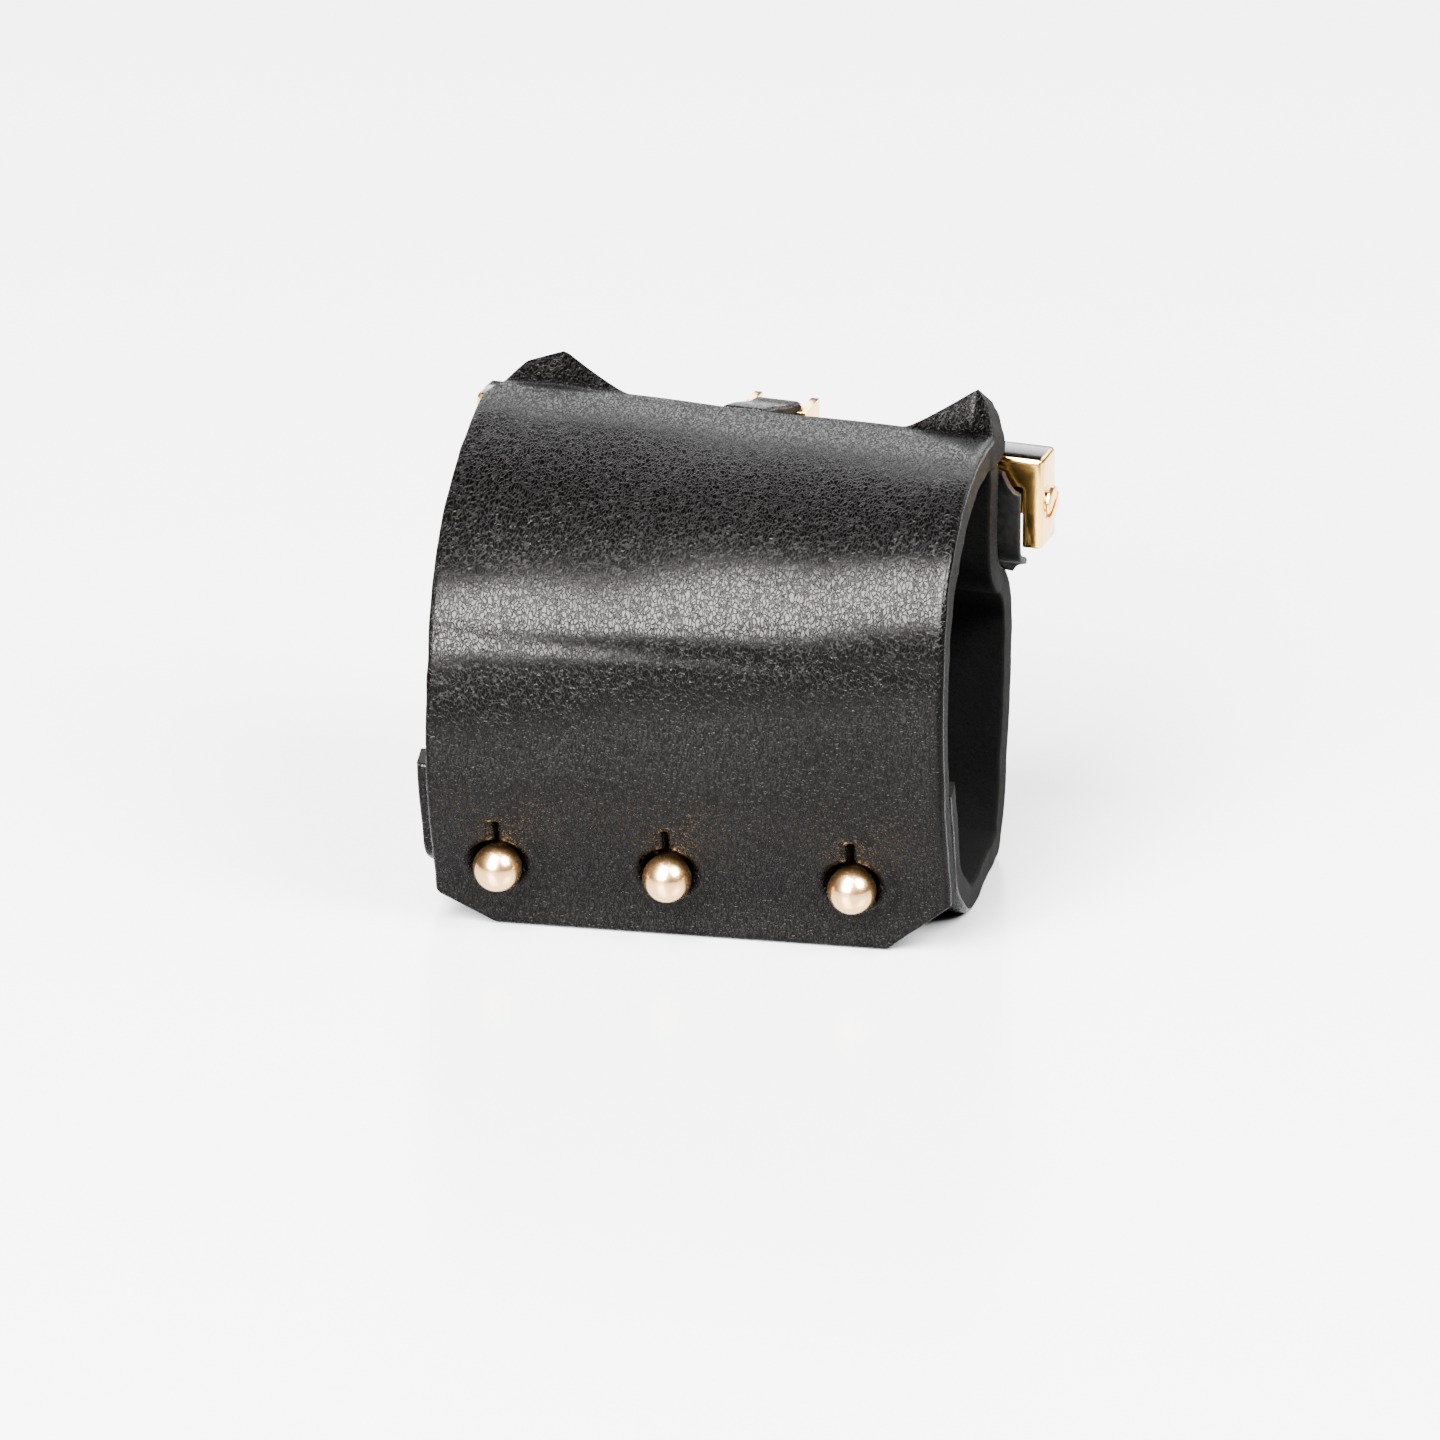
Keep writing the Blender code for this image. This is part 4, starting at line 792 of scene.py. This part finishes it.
# ---------------------------------------------------------------- build the object
leather = front_leather()
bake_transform(leather)
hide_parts("front_strap", "keyhole_flap")
strap = back_leather()
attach(strap, "band")
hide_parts("back_strap")
tab = pull_tab()
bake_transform(tab)
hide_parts("pull_tab")
pad = seat_pad()
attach(pad, "band")
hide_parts("frame_pad")

for side, axes in STUDS.items():
    for made, slot, node in (
        (stud(side, axes), "rose_gold", f"stud_{side}"),
        (stud_washer(side, axes), "steel", f"stud_washer_{side}"),
        (stud_screw(side, axes), "steel", f"stud_screw_{side}"),
    ):
        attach(made, "band")
        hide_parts(node)

rod = shaft()
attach(rod, "lever")
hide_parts("lever_shaft")
for piece in lever():
    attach(piece, "lever")
    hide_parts("lever")
for side, sign in (("left", -1), ("right", 1)):
    made = sleeve(side, sign)
    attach(made, "lever")
    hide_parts(f"bush_{side}")

dress("hinge_frame", black_topped_gold(), 0.12)
dress("pull_clip", YELLOW_GOLD, 0.1)
dress("tab_screw", YELLOW_GOLD, 0.05)
dress("tension_cam", BLACK_PLATE, 0.08)
dress("cam_follower", STEEL, 0.08, 50.0)
dress("inner_plate", BLACK_PLATE, 0.1)
for number in range(1, 5):
    dress(f"frame_screw_{number}", STEEL, 0.06)


# ---------------------------------------------------------------- floor, light and camera
def floor():
    look = Look("pale_table", (0.112, 0.112, 0.112), 0.22, **{"Specular IOR Level": 0.35})
    half = 4.0
    made = from_faces("floor", [(-half, -half, 0), (half, -half, 0), (half, half, 0), (-half, half, 0)],
                      [(0, 1, 2, 3)], Matrix.Translation((0.0, 0.0, -0.00005)), [look.material])


def softbox(name, bearing, elevation, distance, width, height, power):
    """An area light aimed at the object; bearing 0 is the front, 90 the right-hand side."""
    b, e = math.radians(bearing), math.radians(elevation)
    towards = Vector((math.sin(b) * math.cos(e), -math.cos(b) * math.cos(e), math.sin(e)))
    light = bpy.data.lights.new(name, "AREA")
    light.shape = "RECTANGLE"
    light.size, light.size_y = width, height
    light.energy = power
    made = bpy.data.objects.new(name, light)
    made.location = AIM + towards * distance
    made.rotation_euler = towards.to_track_quat("Z", "Y").to_euler()
    bpy.context.scene.collection.objects.link(made)


AIM = Vector((0.0, 0.0, 0.018))
floor()
softbox("left_box", -18.0, 44.0, 0.9, 0.42, 0.92, 620.0)
softbox("right_box", 62.0, 46.0, 0.9, 0.36, 0.48, 220.0)
softbox("backdrop", 172.0, 24.0, 1.2, 1.8, 0.6, 34.0)
world = bpy.data.worlds.new("studio")
world.use_nodes = True
world.node_tree.nodes["Background"].inputs["Color"].default_value = (1.0, 1.0, 1.0, 1.0)
world.node_tree.nodes["Background"].inputs["Strength"].default_value = WORLD_LIGHT
bpy.context.scene.world = world

CAMERA_YAW = math.radians(10.6)
CAMERA_PITCH = math.radians(21.5)
CAMERA_DISTANCE = 1.5
PICTURE_WIDTH = 0.10435  # what the picture spans at the object
SENSOR = 36.0


def camera():
    right = Vector((math.cos(CAMERA_YAW), math.sin(CAMERA_YAW), 0.0))
    ahead = Vector((-math.sin(CAMERA_YAW) * math.cos(CAMERA_PITCH),
                    math.cos(CAMERA_YAW) * math.cos(CAMERA_PITCH), -math.sin(CAMERA_PITCH)))
    up = right.cross(ahead)
    front_right = (Vector(BAND_AXES) + Vector((0.0, 0.0, 21.7))) * MM
    target = front_right - right * 16.16 * MM - up * 1.45 * MM
    data = bpy.data.cameras.new("camera")
    data.sensor_width = SENSOR
    data.lens = SENSOR * CAMERA_DISTANCE / PICTURE_WIDTH
    data.clip_end = 20.0
    made = bpy.data.objects.new("camera", data)
    made.location = target - ahead * CAMERA_DISTANCE
    made.rotation_euler = ahead.to_track_quat("-Z", "Y").to_euler()
    bpy.context.scene.collection.objects.link(made)
    bpy.context.scene.camera = made


camera()
